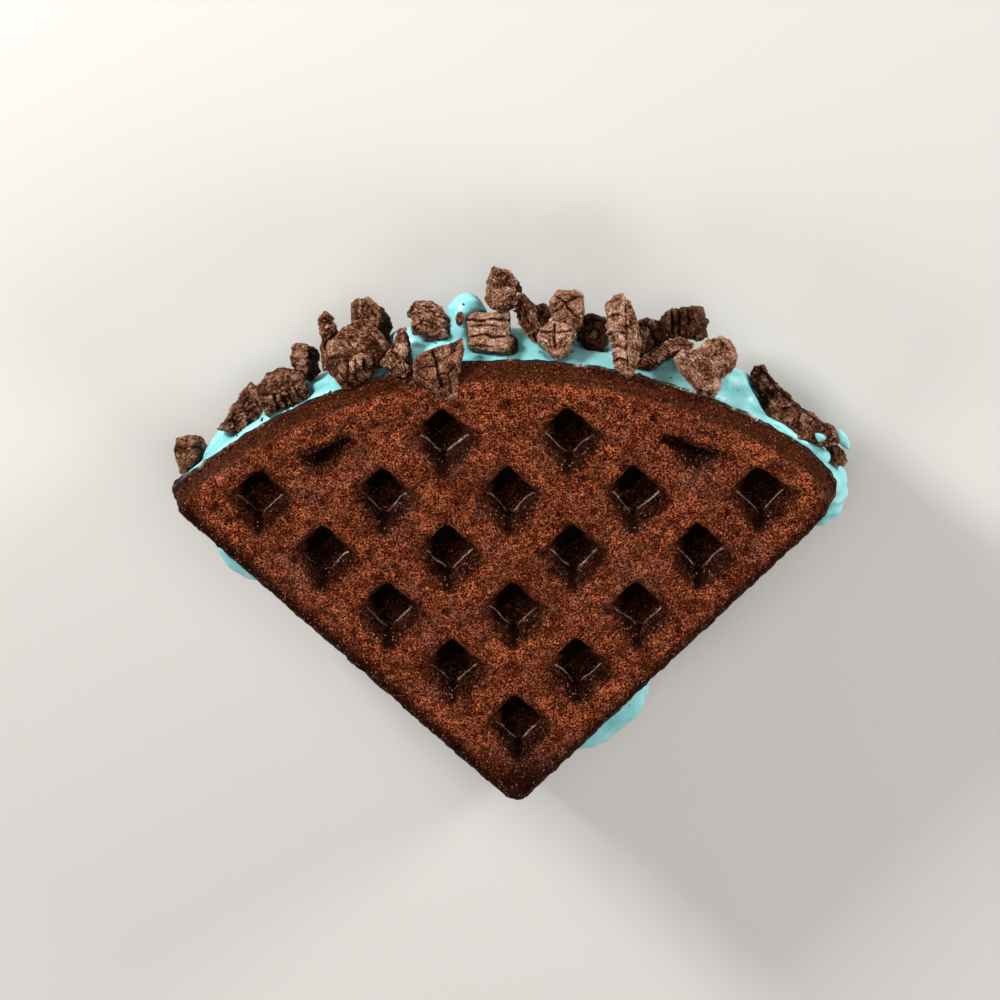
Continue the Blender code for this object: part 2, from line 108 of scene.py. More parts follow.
def remesh(piece, face_size):
    """Wraps the piece in one skin of even quads, with the size of a quad in mm."""
    even = piece.modifiers.new("even_faces", "REMESH")
    even.mode = "VOXEL"
    even.voxel_size = face_size * MM
    bpy.context.view_layer.update()
    shown = piece.evaluated_get(bpy.context.evaluated_depsgraph_get())
    mesh = bpy.data.meshes.new_from_object(shown)
    piece.modifiers.clear()
    piece.data = mesh


def even_copy(node, name, face_size):
    """A copy of a node's shape with small even faces."""
    bm = bmesh.new()
    bm.from_mesh(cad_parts[node].data)
    bmesh.ops.remove_doubles(bm, verts=bm.verts, dist=MERGE)
    piece = new_piece(name, bm)
    remesh(piece, face_size)
    return piece


def soften(piece, rounds):
    """Evens the skin out, which also rounds its edges."""
    bm = bmesh.new()
    bm.from_mesh(piece.data)
    for _ in range(rounds):
        bmesh.ops.smooth_vert(
            bm, verts=bm.verts, factor=0.5, use_axis_x=True, use_axis_y=True, use_axis_z=True)
    bm.to_mesh(piece.data)
    bm.free()


# %% [markdown]
# ## Relief and masks
# Relief is a distance that each point moves along its normal. Working on whole arrays
# of points is quick, and what the relief knows, such as how deep a point lies, is kept
# as an attribute that the material reads later.

# %% Move points and keep masks
def rows_of(data, name):
    """One row of three numbers for each point."""
    flat = np.empty(len(data) * 3, np.float32)
    data.foreach_get(name, flat)
    return flat.reshape(-1, 3).astype(float)


def points_of(mesh):
    """The points in mm."""
    return rows_of(mesh.vertices, "co") / MM


def normals_of(mesh):
    return rows_of(mesh.vertex_normals, "vector")


def move_points(mesh, points):
    """Puts the points, in mm, back in the mesh."""
    mesh.vertices.foreach_set("co", (points * MM).astype(np.float32).ravel())
    mesh.update()


def raise_skin(mesh, points, relief):
    """Moves each point along its normal by its own relief in mm."""
    move_points(mesh, points + normals_of(mesh) * relief[:, None])


def keep(mesh, **masks):
    """Stores one number a point under each name for the material."""
    for name, values in masks.items():
        layer = mesh.attributes.new(name, "FLOAT", "POINT")
        layer.data.foreach_set("value", np.asarray(values).astype(np.float32))


def ramp(values, low, high):
    """0 below low, 1 above high, and an even bend between."""
    share = np.clip((values - low) / (high - low), 0.0, 1.0)
    return share * share * (3 - 2 * share)


def waves(points, size, seed):
    """Smooth noise between -1 and 1 whose bumps are about this many mm apart."""
    shift = Vector((seed * 7.3, seed * 3.1, seed * 5.7))
    return np.array([noise.noise(Vector(point) / size + shift) for point in points])


# %% [markdown]
# ## Waffles
# A waffle is an even slab of crumb with soft-edged square pockets. Its top is nearly
# flat and grainy, its cut sides are rougher, and nothing on it is quite straight. The
# solid has the pockets already. What is added is the unevenness: pockets that bend a
# little, a swell of the ribs, crumb and small pits.

# %% Where a point lies on a waffle
# Sizes of the solid in mm: the pockets' spacing along a straight side, the first one's
# middle from the corner and half its width, the round side and the border along it
PITCH = 17.0
FIRST_POCKET = 11.56
HALF_POCKET = 6.3
POCKETS_A_SIDE = 6
ROUND_RADIUS = 95.2
ROUND_CENTRE = (0.4, -6.0)
BORDER = 5.4
THICKNESS = 8.5
FRONT_CORNER = (1.0, -47.41)
BACK_CORNER = (0.0, -52.41)
# How far the painted shade reaches from the straight sides and from the point, in mm
EDGE_SHADE_SIDES = (0.2, 2.6)
EDGE_SHADE_POINT = (5.0, 16.0)


def waffle_place(points, front):
    """Depth under the outer face, the distances from a pocket's middle along its two sides,
    whether a point lies in a pocket and in one that the border cuts off, and how near it is
    to the cut sides and the point, where shade is painted into the crumb."""
    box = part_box("waffle_front" if front else "waffle_back")
    corner = FRONT_CORNER if front else BACK_CORNER
    x = (points[:, 0] - corner[0]) * (1 if front else -1)
    y = points[:, 1] - corner[1]
    depth = box[1].z / MM - points[:, 2] if front else points[:, 2] - box[0].z / MM
    right = (x + y) / math.sqrt(2)
    left = (y - x) / math.sqrt(2)
    row = np.round((right - FIRST_POCKET) / PITCH)
    column = np.round((left - FIRST_POCKET) / PITCH)
    across = right - FIRST_POCKET - row * PITCH
    along = left - FIRST_POCKET - column * PITCH
    from_middle = np.maximum(np.abs(across), np.abs(along))
    from_centre = np.hypot(x - ROUND_CENTRE[0], y - ROUND_CENTRE[1])
    inside = (from_middle < HALF_POCKET) & (row >= 0) & (column >= 0)
    inside &= (row + column < POCKETS_A_SIDE) & (from_centre < ROUND_RADIUS - BORDER)
    cut_off = inside & (np.abs(row - column) == 3) & (row + column == POCKETS_A_SIDE - 1)
    # Painted shade: the crumb is painted darker towards the straight sides and the point
    singed = 1 - ramp(np.minimum(right, left), *EDGE_SHADE_SIDES)
    singed = np.maximum(singed, 1 - ramp(np.hypot(x, y), *EDGE_SHADE_POINT))
    return depth, across, along, inside, cut_off, singed


# %% Join the faces that lie against the cream
def join_hidden_faces(piece, front):
    """Joins the small faces of a waffle's flat inner face, which the cream covers."""
    bm = bmesh.new()
    bm.from_mesh(piece.data)
    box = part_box("waffle_front" if front else "waffle_back")
    level = box[0].z if front else box[1].z
    down = -1 if front else 1
    flat = [face for face in bm.faces if face.normal.z * down > 0.999
            and all(abs(vert.co.z - level) < 0.2 * MM for vert in face.verts)]
    joined = bmesh.ops.dissolve_faces(bm, faces=flat, use_verts=True)
    bmesh.ops.triangulate(bm, faces=joined["region"])
    bm.to_mesh(piece.data)
    bm.free()


# %% Bake the two waffles
WAFFLE_FACE = 0.38
# How far the mouth of a pocket is opened, in mm
OPENED = 0.45
# The corners at the picture's right are worn: their place, how far the wear reaches and
# how much gave way, in mm
WORN_FRONT = (64.4, 17.5)
WORN_BACK = (65.2, 12.4)
WORN_REACH = 9.0
WORN_AWAY = {WORN_FRONT: 1.7, WORN_BACK: 3.2}


def around(points, centre):
    """The points' distances, directions and angles in degrees from a centre, from above."""
    outward = points[:, :2] - np.array(centre[:2])
    reach = np.hypot(outward[:, 0], outward[:, 1])
    outward /= reach[:, None]
    return reach, outward, np.degrees(np.arctan2(outward[:, 0], outward[:, 1]))


def worn(points, corner):
    """How far the points near a worn corner move towards the waffle's middle."""
    near = 1 - ramp(around(points, corner)[0], 0.0, WORN_REACH)
    inward = -np.array(Vector(corner).normalized())
    return inward * (near * WORN_AWAY[corner])[:, None]


def baked_waffle(node, name, front, seed):
    """A waffle's solid with crumb, pits, uneven ribs and rough sides."""
    piece = even_copy(node, name, WAFFLE_FACE)
    join_hidden_faces(piece, front)
    points = points_of(piece.data)
    normals = normals_of(piece.data)
    depth, across, along, in_pocket, cut_off, singed = waffle_place(points, front)
    shown = ramp(THICKNESS - depth, 0.05, 0.6)
    upright = 1 - np.abs(normals[:, 2])

    swell = waves(points, 8.0, seed) * 0.2
    crumb = waves(points, 1.3, seed + 1) * 0.17
    grit = waves(points, 0.75, seed + 2) * 0.12
    pits = -0.25 * ramp(waves(points, 1.9, seed + 3), 0.42, 0.62)
    rough_side = waves(points, 2.6, seed + 4) * 0.3 + waves(points, 1.0, seed + 7) * 0.15
    rough_side *= ramp(upright, 0.3, 0.8)
    relief = swell * (1 - upright) + crumb + grit + pits
    relief += np.where(in_pocket, 0.0, rough_side)
    points += normals * (relief * shown)[:, None]

    from_middle = np.maximum(np.abs(across), np.abs(along)) + 1e-6
    opened = OPENED * in_pocket * ramp(3.4 - depth, 0.0, 2.2)
    opened *= ramp(6.2 - from_middle, 0.0, 0.9)
    turn = math.sqrt(0.5) * (1 if front else -1)
    points[:, 0] += (across - along) / from_middle * opened * turn
    points[:, 1] += (across + along) / from_middle * opened * math.sqrt(0.5)
    bend = ramp(depth, 0.15, 1.5) * in_pocket
    for axis in (0, 1):
        points[:, axis] += waves(points, 5.5, seed + 5 + axis) * 0.5 * bend
    points[:, :2] += worn(points, WORN_FRONT if front else WORN_BACK)
    move_points(piece.data, points)
    piece.data.shade_smooth()

    keep(piece.data, depth=depth, in_pocket=in_pocket, cut_off=cut_off, singed=singed,
         across=across + waves(points, 3.0, seed + 8) * 0.28,
         along=along + waves(points, 3.0, seed + 9) * 0.28,
         raised=0.5 + (crumb + grit + pits) * 2.2)
    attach(piece, "root")
    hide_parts(node)
    triangles = sum(len(face.vertices) - 2 for face in piece.data.polygons)
    print(name, "has", triangles, "triangles")
    return piece


front_waffle = baked_waffle("waffle_front", "baked_waffle_front", True, 1)
back_waffle = baked_waffle("waffle_back", "baked_waffle_back", False, 20)

# %% [markdown]
# The round side of a waffle has a thin crisp edge where batter crept between the two
# halves of the iron. One small cross-section, spun round the same centre as the side,
# makes it. Noise then frays it.

# %% Spin the crisp edge
# Where the front and the back edge start and end, in degrees from the middle
EDGE_ENDS = {True: (-44.0, 42.6), False: (-42.4, 42.4)}
EDGE_STEPS = 430
# The edge's cross-section: mm outside the waffle's side and mm above its inner face
EDGE_SECTION = ((-1.2, 0.05), (0.0, 0.05), (0.4, 0.3), (0.3, 0.55), (-1.2, 0.95))
# Where the edge is painted pale, partly as smeared cream and partly as glints: from and to,
# in degrees right of the middle of the round side, and how much
PALE_ARCS = ((-43, -29, 0.3), (8, 12, 1.0), (16, 23, 1.0), (25, 30, 1.0))
# The heights above the inner face, in mm, between which the side is measured
OUTLINE_LEVELS = (0.3, 1.6)


def outline_reach(points, centre, base, flip, turned):
    """How far the waffle's side lies from the centre in each of these directions."""
    rise = (points[:, 2] - base) * flip
    low = points[(rise > OUTLINE_LEVELS[0]) & (rise < OUTLINE_LEVELS[1])]
    reach, _, angles = around(low, centre)
    steps = np.arange(math.ceil(angles.min()), math.floor(angles.max()) + 0.1, 0.5)
    farthest = np.array([reach[np.abs(angles - step) < 0.6].max() for step in steps])
    return np.interp(turned, steps, farthest)


def crisp_edge(name, waffle, front, seed):
    """A frayed edge along a waffle's round side, at its inner face."""
    corner = FRONT_CORNER if front else BACK_CORNER
    flip = 1 if front else -1
    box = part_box("waffle_front" if front else "waffle_back")
    base = box[0].z / MM if front else box[1].z / MM
    centre = Vector((corner[0] + flip * ROUND_CENTRE[0], corner[1] + ROUND_CENTRE[1], base))
    bm = bmesh.new()
    ring = [bm.verts.new((centre.x, centre.y + ROUND_RADIUS + out, base + flip * rise))
            for out, rise in EDGE_SECTION]
    bm.faces.new(ring)
    start, end = EDGE_ENDS[front]
    bmesh.ops.rotate(
        bm, verts=bm.verts, cent=centre, matrix=Matrix.Rotation(math.radians(-start), 3, "Z"))
    bmesh.ops.spin(
        bm, geom=bm.verts[:] + bm.edges[:] + bm.faces[:], cent=centre, axis=(0, 0, 1),
        angle=math.radians(start - end), steps=EDGE_STEPS, use_merge=False, use_duplicate=False)
    bmesh.ops.remove_doubles(bm, verts=bm.verts, dist=0.0001)
    bmesh.ops.recalc_face_normals(bm, faces=bm.faces)
    bmesh.ops.scale(bm, vec=(MM, MM, MM), verts=bm.verts)
    piece = new_piece(name, bm)
    mesh = piece.data

    points = points_of(mesh)
    reach, outward, turned = around(points, centre)
    free = ramp(reach, ROUND_RADIUS - 0.3, ROUND_RADIUS + 0.25)
    fray = waves(points, 1.4, seed) * 0.22 + waves(points, 5.0, seed + 1) * 0.25
    if front:
        fray = fray + 0.9 * ramp(-turned, 39.5, 42.0)
    closed = 1 - ramp(np.minimum(turned - start, end - turned), -0.6, 1.3)
    follow = outline_reach(points_of(waffle.data), centre, base, flip, turned) - ROUND_RADIUS
    shrink = (reach - ROUND_RADIUS - EDGE_SECTION[0][0]) * closed
    points[:, :2] += outward * (fray * free + follow - shrink)[:, None]
    points[:, 2] += waves(points, 2.4, seed + 2) * 0.15 * free - (points[:, 2] - base) * closed
    move_points(mesh, points)
    mesh.shade_smooth()
    smeared = sum(ramp(turned, low - 1, low + 1) * ramp(-turned, -high - 1, 1 - high) * share
                  for low, high, share in PALE_ARCS)
    keep(mesh, rim=reach > ROUND_RADIUS + 0.2, smeared=smeared)
    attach(piece, "root")
    return piece


front_edge = crisp_edge("crisp_edge_front", front_waffle, True, 41)
back_edge = crisp_edge("crisp_edge_back", back_waffle, False, 45)
print("edge faces:", len(front_edge.data.polygons))

# %% [markdown]
# ## Cream
# Whipped cream or soft ice cream keeps soft folds where it was spread. The solid has
# the bulges. Long low waves along the side, wider than they are high, give the folds,
# and a little finer noise keeps the gloss from looking like plastic.

# %% Whip the cream
CREAM_FACE = 0.6


def soft_cream():
    """The filling's solid with spread folds and soft lumps."""
    piece = even_copy("filling", "soft_cream", CREAM_FACE)
    soften(piece, 3)
    points = points_of(piece.data)
    upright = ramp(1 - np.abs(normals_of(piece.data)[:, 2]), 0.02, 0.4)
    stretched = points * np.array([0.45, 0.45, 1.3])
    folds = waves(stretched, 3.2, 60) * 0.55
    lumps = waves(points, 4.5, 61) * 0.4
    fine = waves(stretched, 1.1, 62) * 0.12
    raise_skin(piece.data, points, (folds + lumps + fine) * upright)
    piece.data.shade_smooth()
    keep(piece.data, raised=0.5 + folds * 0.9 + lumps * 0.5)
    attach(piece, "root")
    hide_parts("filling")
    print("cream has", len(piece.data.polygons), "faces")
    return piece


cream_piece = soft_cream()

# %% [markdown]
# ## Biscuit pieces
# Snapped biscuit shows its inside: sharp ridges, folds, pits and grit. Ridged noise has
# such sharp ridges. Stretched along one direction it gives the drawn-out grain of a
# long shard. What single pieces show besides, such as layers, a crease or a crack, is
# listed for each piece as lines in the picture's plane.

# %% Lines and ridges drawn on a piece
def toward_angle(right, up, angle):
    """How much of right and up goes in a direction, in degrees above the picture's right."""
    turn = math.radians(angle)
    return right * math.cos(turn) + up * math.sin(turn)


def line_depth(across, up, line, width):
    """1 on a line of points in the picture's plane, falling to 0 a width away, in mm."""
    nearest = np.full(len(across), 1e9)
    for (x0, y0), (x1, y1) in zip(line, line[1:]):
        length = (x1 - x0) ** 2 + (y1 - y0) ** 2
        share = ((across - x0) * (x1 - x0) + (up - y0) * (y1 - y0)) / length
        share = np.clip(share, 0.0, 1.0)
        gap = np.hypot(across - x0 - share * (x1 - x0), up - y0 - share * (y1 - y0))
        nearest = np.minimum(nearest, gap)
    return np.exp(-(nearest / width) ** 2)


# Creases of single pieces: depth and width in mm, then lines, each with its points in mm
# right of and above the middle of the piece, as the camera sees it
CREASES = {
    1: ((0.35, 0.2, ((-2.6, 1.2), (-0.9, 1.1), (0.6, 1.5), (2.4, 1.0))),
        (0.3, 0.18, ((-0.3, 3.2), (-0.9, 1.1), (-0.6, -0.6), (-1.2, -3.0))),
        (0.35, 0.2, ((-0.6, -0.6), (1.6, -1.6)))),
    3: ((0.6, 0.3, ((-4.3, -0.6), (-1.7, -0.7), (1.1, 0.5), (3.1, 2.2))),
        (0.85, 0.28, ((-1.9, -0.9), (-1.0, -4.0)), ((-0.5, -0.6), (0.7, -3.3)),
         ((0.7, 0.1), (1.8, -2.6))),
        (0.8, 0.28, ((2.2, 0.5), (3.1, -1.3)))),
    6: ((0.5, 0.35, ((-6.0, -0.7), (-1.2, -0.5), (3.6, 2.4))),
        (0.95, 0.3, ((-2.1, -1.3), (-1.7, -4.2)), ((-0.5, -1.3), (-0.2, -4.0)),
         ((1.2, -1.0), (1.5, -3.6))),
        (0.9, 0.3, ((3.0, -0.2), (3.3, -2.6))),
        (0.8, 0.3, ((4.5, 1.0), (5.0, -0.8)))),
    7: ((0.45, 0.3, ((-1.4, 4.6), (0.9, 1.0), (0.4, -3.0))),),
    9: ((1.0, 0.33, ((-1.5, 5.0), (-1.0, 3.5), (-0.4, 1.6), (0.1, -0.6), (0.7, -2.9))),
        (0.55, 0.24, ((-3.2, 2.9), (-1.2, 2.8))),
        (0.6, 0.24, ((-0.4, 1.6), (1.4, 2.3), (3.4, 3.9))),
        (0.5, 0.24, ((-4.4, -0.3), (-2.2, 0.9), (-0.3, 0.6))),
        (0.6, 0.26, ((0.1, -0.6), (2.0, -0.7), (2.9, 0.6))),
        (0.5, 0.24, ((0.3, -1.6), (-1.8, -1.9), (-3.6, -1.2)), ((2.0, -0.7), (2.6, -4.6)))),
    11: ((0.95, 0.3, ((-4.6, 2.3), (-2.6, 1.9), (0.4, 2.3), (3.9, 2.0))),
         (0.6, 0.24, ((-4.4, 0.9), (-1.2, 1.2), (1.6, 0.8))),
         (0.9, 0.3, ((-4.3, -1.1), (-1.4, -0.7), (0.8, -1.3), (3.9, -0.8))),
         (0.9, 0.35, ((-4.2, -3.1), (-2.4, -2.8), (0.4, -3.2))),
         (0.5, 0.24, ((0.9, -2.0), (3.6, -2.3)))),
    12: ((0.6, 0.26, ((-1.2, 1.2), (-0.2, 2.2), (0.9, 1.2), (0.1, 0.2), (-0.9, 0.4))),),
    16: ((0.8, 0.26, ((-2.4, 2.7), (-0.5, 1.4), (0.8, 1.9), (2.9, 2.9))),
         (0.7, 0.26, ((-0.5, 1.4), (0.8, -0.5), (2.4, -1.7))),
         (0.6, 0.24, ((-3.3, -0.8), (-1.2, 0.4), (-0.5, 1.4)))),
    17: ((0.95, 0.26, ((-0.2, 3.1), (-0.4, 0.9), (-0.2, -1.4))),
         (0.7, 0.26, ((-3.6, 1.9), (-0.2, 1.5), (3.6, 2.1))),
         (0.4, 0.2, ((-3.0, 0.9), (-1.4, 0.3), (-0.9, -1.6)),
          ((-2.6, -0.2), (-1.8, -0.8), (-1.4, -2.2)), ((2.6, 0.9), (1.2, 0.3), (0.6, -1.6)),
          ((2.4, -0.2), (1.6, -0.9), (1.0, -2.6)))),
    18: ((0.6, 0.3, ((-2.2, 1.0), (-0.6, 2.4), (1.6, 2.2), (2.8, 0.4))),
         (0.5, 0.25, ((-0.9, -0.4), (0.1, 0.9), (1.4, -0.2), (0.6, -1.6), (-0.6, -1.4)))),
    19: ((0.4, 0.25, ((0.6, 6.0), (0.7, 3.0), (0.9, 0.0), (0.8, -3.0), (1.1, -6.6))),
         (0.6, 0.25, ((-2.8, 3.5), (-1.2, 4.1), (0.6, 3.6)),
          ((-2.6, 0.1), (-1.0, 0.8), (0.7, 0.3)), ((-2.3, -2.5), (-0.8, -1.8), (0.7, -2.3)),
          ((-1.9, -5.0), (-0.6, -4.4), (0.8, -4.8)))),
    20: ((0.7, 0.35, ((-1.0, 2.4), (0.3, -0.2), (0.0, -2.8))),),
    22: ((1.0, 0.3, ((-2.6, 3.0), (-2.4, -2.2)), ((-1.2, 3.0), (-1.1, -2.4))),
         (0.6, 0.3, ((0.5, 2.6), (0.8, -0.4)))),
    24: ((0.8, 0.33, ((-7.2, 7.8), (-3.6, 3.2), (1.0, -0.6), (6.4, -4.4))),
         (0.6, 0.28, ((-5.2, 7.2), (-1.4, 3.0), (4.2, -1.2)))),
}

# Rows of ridges: direction across them in degrees above the picture's right, spacing,
# depth in mm, then the row's middle and half its size in mm in the picture's plane
RIDGES = {
    2: ((120, 0.9, 0.25, (0.0, 0.0), (4.0, 4.0)),),
    6: ((75, 0.85, 0.42, (0.8, 3.0), (4.6, 3.4)), (20, 0.7, 0.3, (-4.4, -3.2), (2.6, 3.0))),
    7: ((10, 0.8, 0.3, (-2.2, 1.6), (1.9, 3.6)),),
    8: ((25, 0.7, 0.32, (0.2, -1.6), (2.6, 3.2)),),
    10: ((70, 0.9, 0.36, (0.6, 0.2), (3.8, 3.0)),),
    12: ((30, 0.8, 0.26, (0.0, 0.0), (3.2, 3.4)),),
    13: ((-40, 0.8, 0.28, (0.0, 0.0), (2.8, 2.4)),),
    14: ((25, 0.9, 0.34, (0.0, 0.0), (3.0, 6.0)),),
    19: ((30, 0.7, 0.32, (2.0, -1.4), (1.5, 5.4)),),
    21: ((80, 0.85, 0.3, (0.0, 0.0), (5.0, 2.4)),),
    23: ((45, 1.0, 0.2, (0.0, 0.0), (6.0, 6.0)),),
    24: ((48, 1.0, 0.3, (-4.0, 4.0), (5.0, 5.0)),),
}

# Painted shade on the side of single pieces away from the main light: direction in degrees
# above the picture's right, and the distance in mm from the middle where it starts
PAINTED_SHADE_SIDES = {
    4: (0, 0.2), 7: (-10, 1.0), 8: (0, 1.9), 11: (0, 3.5), 12: (-20, 2.2), 20: (0, 0.0)}


def ridge_rows(points, across, up, rows, seed):
    """Depth of the furrows between rows of ridges, in mm."""
    depth = np.zeros(len(points))
    drift = waves(points, 2.4, seed) * 1.2 + waves(points, 1.1, seed + 1) * 0.4
    for angle, spacing, deep, middle, half in rows:
        along = toward_angle(across, up, angle) + drift
        wave = np.abs(np.sin(along * math.pi / spacing))
        near = np.maximum(np.abs(across - middle[0]) / half[0], np.abs(up - middle[1]) / half[1])
        depth += (1 - wave) * deep * (1 - ramp(near, 0.7, 1.15))
    return depth


# %% Break the biscuit
BISCUIT_FACE = 0.14
RIDGE_SIZE = 1.2
# Creases are drawn at this share of their width, and a piece stays this many mm inside
# its solid on average
CREASE_WIDTH = 0.75
SHRUNK = 0.08
# Pieces with a smoother skin, and how dark or light a piece is, where 0.5 is middling: partly
# each piece's own tone and partly painted shade on pieces that lie in shadow
SMOOTH_PIECES = {1: 0.35, 6: 0.6, 7: 0.2, 9: 0.35, 11: 0.3, 13: 0.4, 16: 0.3, 17: 0.1, 18: 0.4,
                 19: 0.5, 23: 0.7}
TONES = {1: 0.35, 2: 0.3, 3: 0.3, 4: 0.3, 5: 0.3, 6: 0.46, 7: 0.5, 9: 0.33, 10: 0.55, 12: 0.45,
         13: 0.45, 14: 0.5, 15: 0.4, 18: 0.1, 20: 0.2, 21: 0.4, 22: 0.12, 24: 0.28, 25: 0.25,
         8: 0.65, 11: 0.95, 16: 0.7, 17: 0.95, 19: 0.75, 23: 0.7}


def ridged(points, size, seed):
    """Sharp ridges between 0 and 1, about this many mm apart."""
    shift = Vector((seed * 3.3, seed * 5.9, seed * 2.1))
    values = np.array([
        noise.ridged_multi_fractal(Vector(point) / size + shift, 0.9, 2.1, 4, 1.0, 2.0)
        for point in points])
    low, high = np.percentile(values, (2, 98))
    return np.clip((values - low) / (high - low), 0.0, 1.0)


def chips(points, size, seed):
    """Height, around 0, of flat chips this many mm wide, each at its own level and tilt."""
    rng = np.random.default_rng(seed)
    scaled = (points - points.min(axis=0)) / size + 1
    scaled += (waves(points, size * 0.6, seed) * 0.2)[:, None]
    cell = np.floor(scaled).astype(int)
    count = cell.max(axis=0) + 2
    spots = rng.random((*count, 3))
    levels = rng.uniform(-1, 1, count)
    tilts = rng.normal(0, 0.8, (*count, 3))
    nearest = np.full(len(points), 1e9)
    height = np.zeros(len(points))
    for step in itertools.product((-1, 0, 1), repeat=3):
        index = tuple(np.maximum(cell + step, 0).T)
        away = scaled - cell - step - spots[index]
        gap = (away ** 2).sum(axis=1)
        closer = gap < nearest
        nearest[closer] = gap[closer]
        height[closer] = (levels[index] + (tilts[index] * away).sum(axis=1))[closer]
    return height


def broken_biscuit(number):
    """A piece's solid with chips, ridges, grit and its own creases."""
    node = f"biscuit_piece_{number:02d}"
    piece = even_copy(node, f"broken_biscuit_{number:02d}", BISCUIT_FACE)
    soften(piece, 1)
    points = points_of(piece.data)
    rough = SMOOTH_PIECES.get(number, 1.0)
    low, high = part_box(node)
    middle = (low + high) / 2 / MM
    away = points - np.array(middle)
    across = away @ np.array(PICTURE_RIGHT)
    up = away @ np.array(PICTURE_UP)
    seen = ramp(normals_of(piece.data) @ np.array(TOWARD_CAMERA), -0.2, 0.3)

    ridges = ridged(points, RIDGE_SIZE, number)
    grit = waves(points, 0.55, number + 60)
    broken = chips(points, 2.3, number) * 0.19 + chips(points, 1.0, number + 45) * 0.1
    fine = (ridges - 0.5) * 0.3 * rough + broken * (0.5 + 0.5 * rough) + grit * 0.1
    fine -= ridge_rows(points, across, up, RIDGES.get(number, ()), number + 90) * seen
    wander = waves(points, 0.9, number + 120) * 0.16
    strength = 0.75 + 0.5 * waves(points, 1.6, number + 150)
    for depth, width, *lines in CREASES.get(number, ()):
        for line in lines:
            cut = line_depth(across + wander, up + wander, line, width * CREASE_WIDTH)
            fine -= cut * depth * seen * strength
    relief = fine + waves(points, 2.8, number + 30) * 0.3
    relief -= relief.mean() + SHRUNK
    raise_skin(piece.data, points, relief)
    piece.data.shade_smooth()
    tone = np.full(len(points), TONES.get(number, 0.5))
    # Painted shade: the tone falls on the piece's shaded side
    if number in PAINTED_SHADE_SIDES:
        angle, start = PAINTED_SHADE_SIDES[number]
        tone *= 1 - ramp(toward_angle(across, up, angle), start, start + 0.7)
    keep(piece.data, raised=np.clip(0.5 + fine * 1.15, 0.0, 1.0), tone=tone)
    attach(piece, "root")
    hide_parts(node)
    return piece


biscuit_nodes = [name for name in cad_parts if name.startswith("biscuit_piece")]
biscuits = [broken_biscuit(number + 1) for number in range(len(biscuit_nodes))]
print("biscuit faces:", sum(len(piece.data.polygons) for piece in biscuits))

# %% [markdown]
# ## Smears and crumbs
# Cream was pressed out over the round edge and at the right-hand corner, and a little
# sticks to the last biscuit pieces. Each smear is a chain of balls made into one skin by a
# voxel remesh, which is how a soft drop looks. Crumbs lie where they fell: a line of sight
# from the camera meets the cream or the waffle, and the crumb is put there.

# %% Cream smears
SMEAR_FACE = 0.35
# Chains of balls: middle in mm and radius in mm
SMEARS = {
    "edge_cream": tuple(
        (1.4 + reach * math.sin(math.radians(angle)),
         -53.4 + reach * math.cos(math.radians(angle)),
         20.2 - 0.5 * max(angle - 36, 0), 0.7 + 0.06 * (angle - 25))
        for angle, reach in zip(np.arange(25.0, 39.5, 0.5), np.linspace(95.4, 94.6, 29))),
    "corner_cream": (
        (57.5, 20.3, 15.5, 2.8), (59.2, 18.4, 15.5, 3.1), (60.9, 16.1, 15.5, 3.3),
        (62.0, 13.8, 15.5, 3.5), (62.0, 11.5, 15.5, 3.5), (61.4, 9.0, 15.5, 3.2),
        (60.0, 7.1, 15.5, 2.6)),
    "shard_smear": (
        (59.8, 25.5, 20.5, 0.7), (60.4, 24.4, 20.5, 0.8), (61.0, 24.8, 20.5, 0.8),
        (60.9, 23.2, 20.0, 0.7), (61.3, 21.9, 19.5, 0.5)),
    "shard_drop": (
        (63.8, 24.0, 17.0, 1.2), (64.3, 23.2, 17.0, 1.3), (65.1, 21.9, 16.5, 1.0),
        (65.6, 21.1, 16.5, 0.6)),
}


def smear(name, balls):
    """A chain of cream balls under one soft skin."""
    bm = bmesh.new()
    for x, y, z, radius in balls:
        place = Matrix.Translation(Vector((x, y, z)) * MM)
        bmesh.ops.create_icosphere(bm, subdivisions=3, radius=radius * MM, matrix=place)
    piece = new_piece(name, bm)
    remesh(piece, SMEAR_FACE)
    soften(piece, 6)
    points = points_of(piece.data)
    lumps = waves(points, 2.2, 77) * 0.25
    raise_skin(piece.data, points, lumps)
    piece.data.shade_smooth()
    keep(piece.data, raised=0.5 + lumps)
    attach(piece, "root")
    return piece


smears = [smear(name, balls) for name, balls in SMEARS.items()]
print("smears:", len(smears))

# %% Loose crumbs
CRUMB_SEED = 5
# Crumbs as the camera sees them: mm right of and above the point aimed at, length in mm,
# and direction in degrees above the picture's right
CRUMBS = (
    (-7.9, 35.9, 3.0, 84), (-17.3, 22.9, 1.5, 75), (-18.1, 22.1, 1.2, 170), (-16.6, 21.7, 1.0, 40),
    (-18.7, 23.3, 0.9, 115), (-13.8, 19.1, 0.9, 150), (-10.4, 31.7, 0.5, 20),
    (-12.6, 30.9, 0.5, 0), (-7.3, 38.6, 0.5, 150), (1.6, 28.0, 0.6, 80), (-49.3, 12.4, 0.9, 175),
    (-46.9, 15.8, 0.8, 70), (-33.5, 21.3, 0.9, 60), (-30.6, 22.1, 0.8, 150),
    (-20.1, 23.7, 0.9, 170), (19.7, 29.2, 0.6, 175), (27.6, 24.8, 0.9, 150),
    (25.2, 24.0, 0.8, 125), (40.4, 19.7, 0.8, 45), (41.8, 19.3, 0.6, 70), (37.1, 21.3, 0.6, 45),
    (50.7, 20.1, 0.7, 165), (53.2, 16.4, 0.7, 120), (7.9, 29.2, 0.5, 0), (14.4, 29.2, 0.6, 20),
    (3.0, 30.6, 0.7, 50), (-55.8, 13.8, 0.7, 10), (-51.8, 12.6, 0.6, 95))


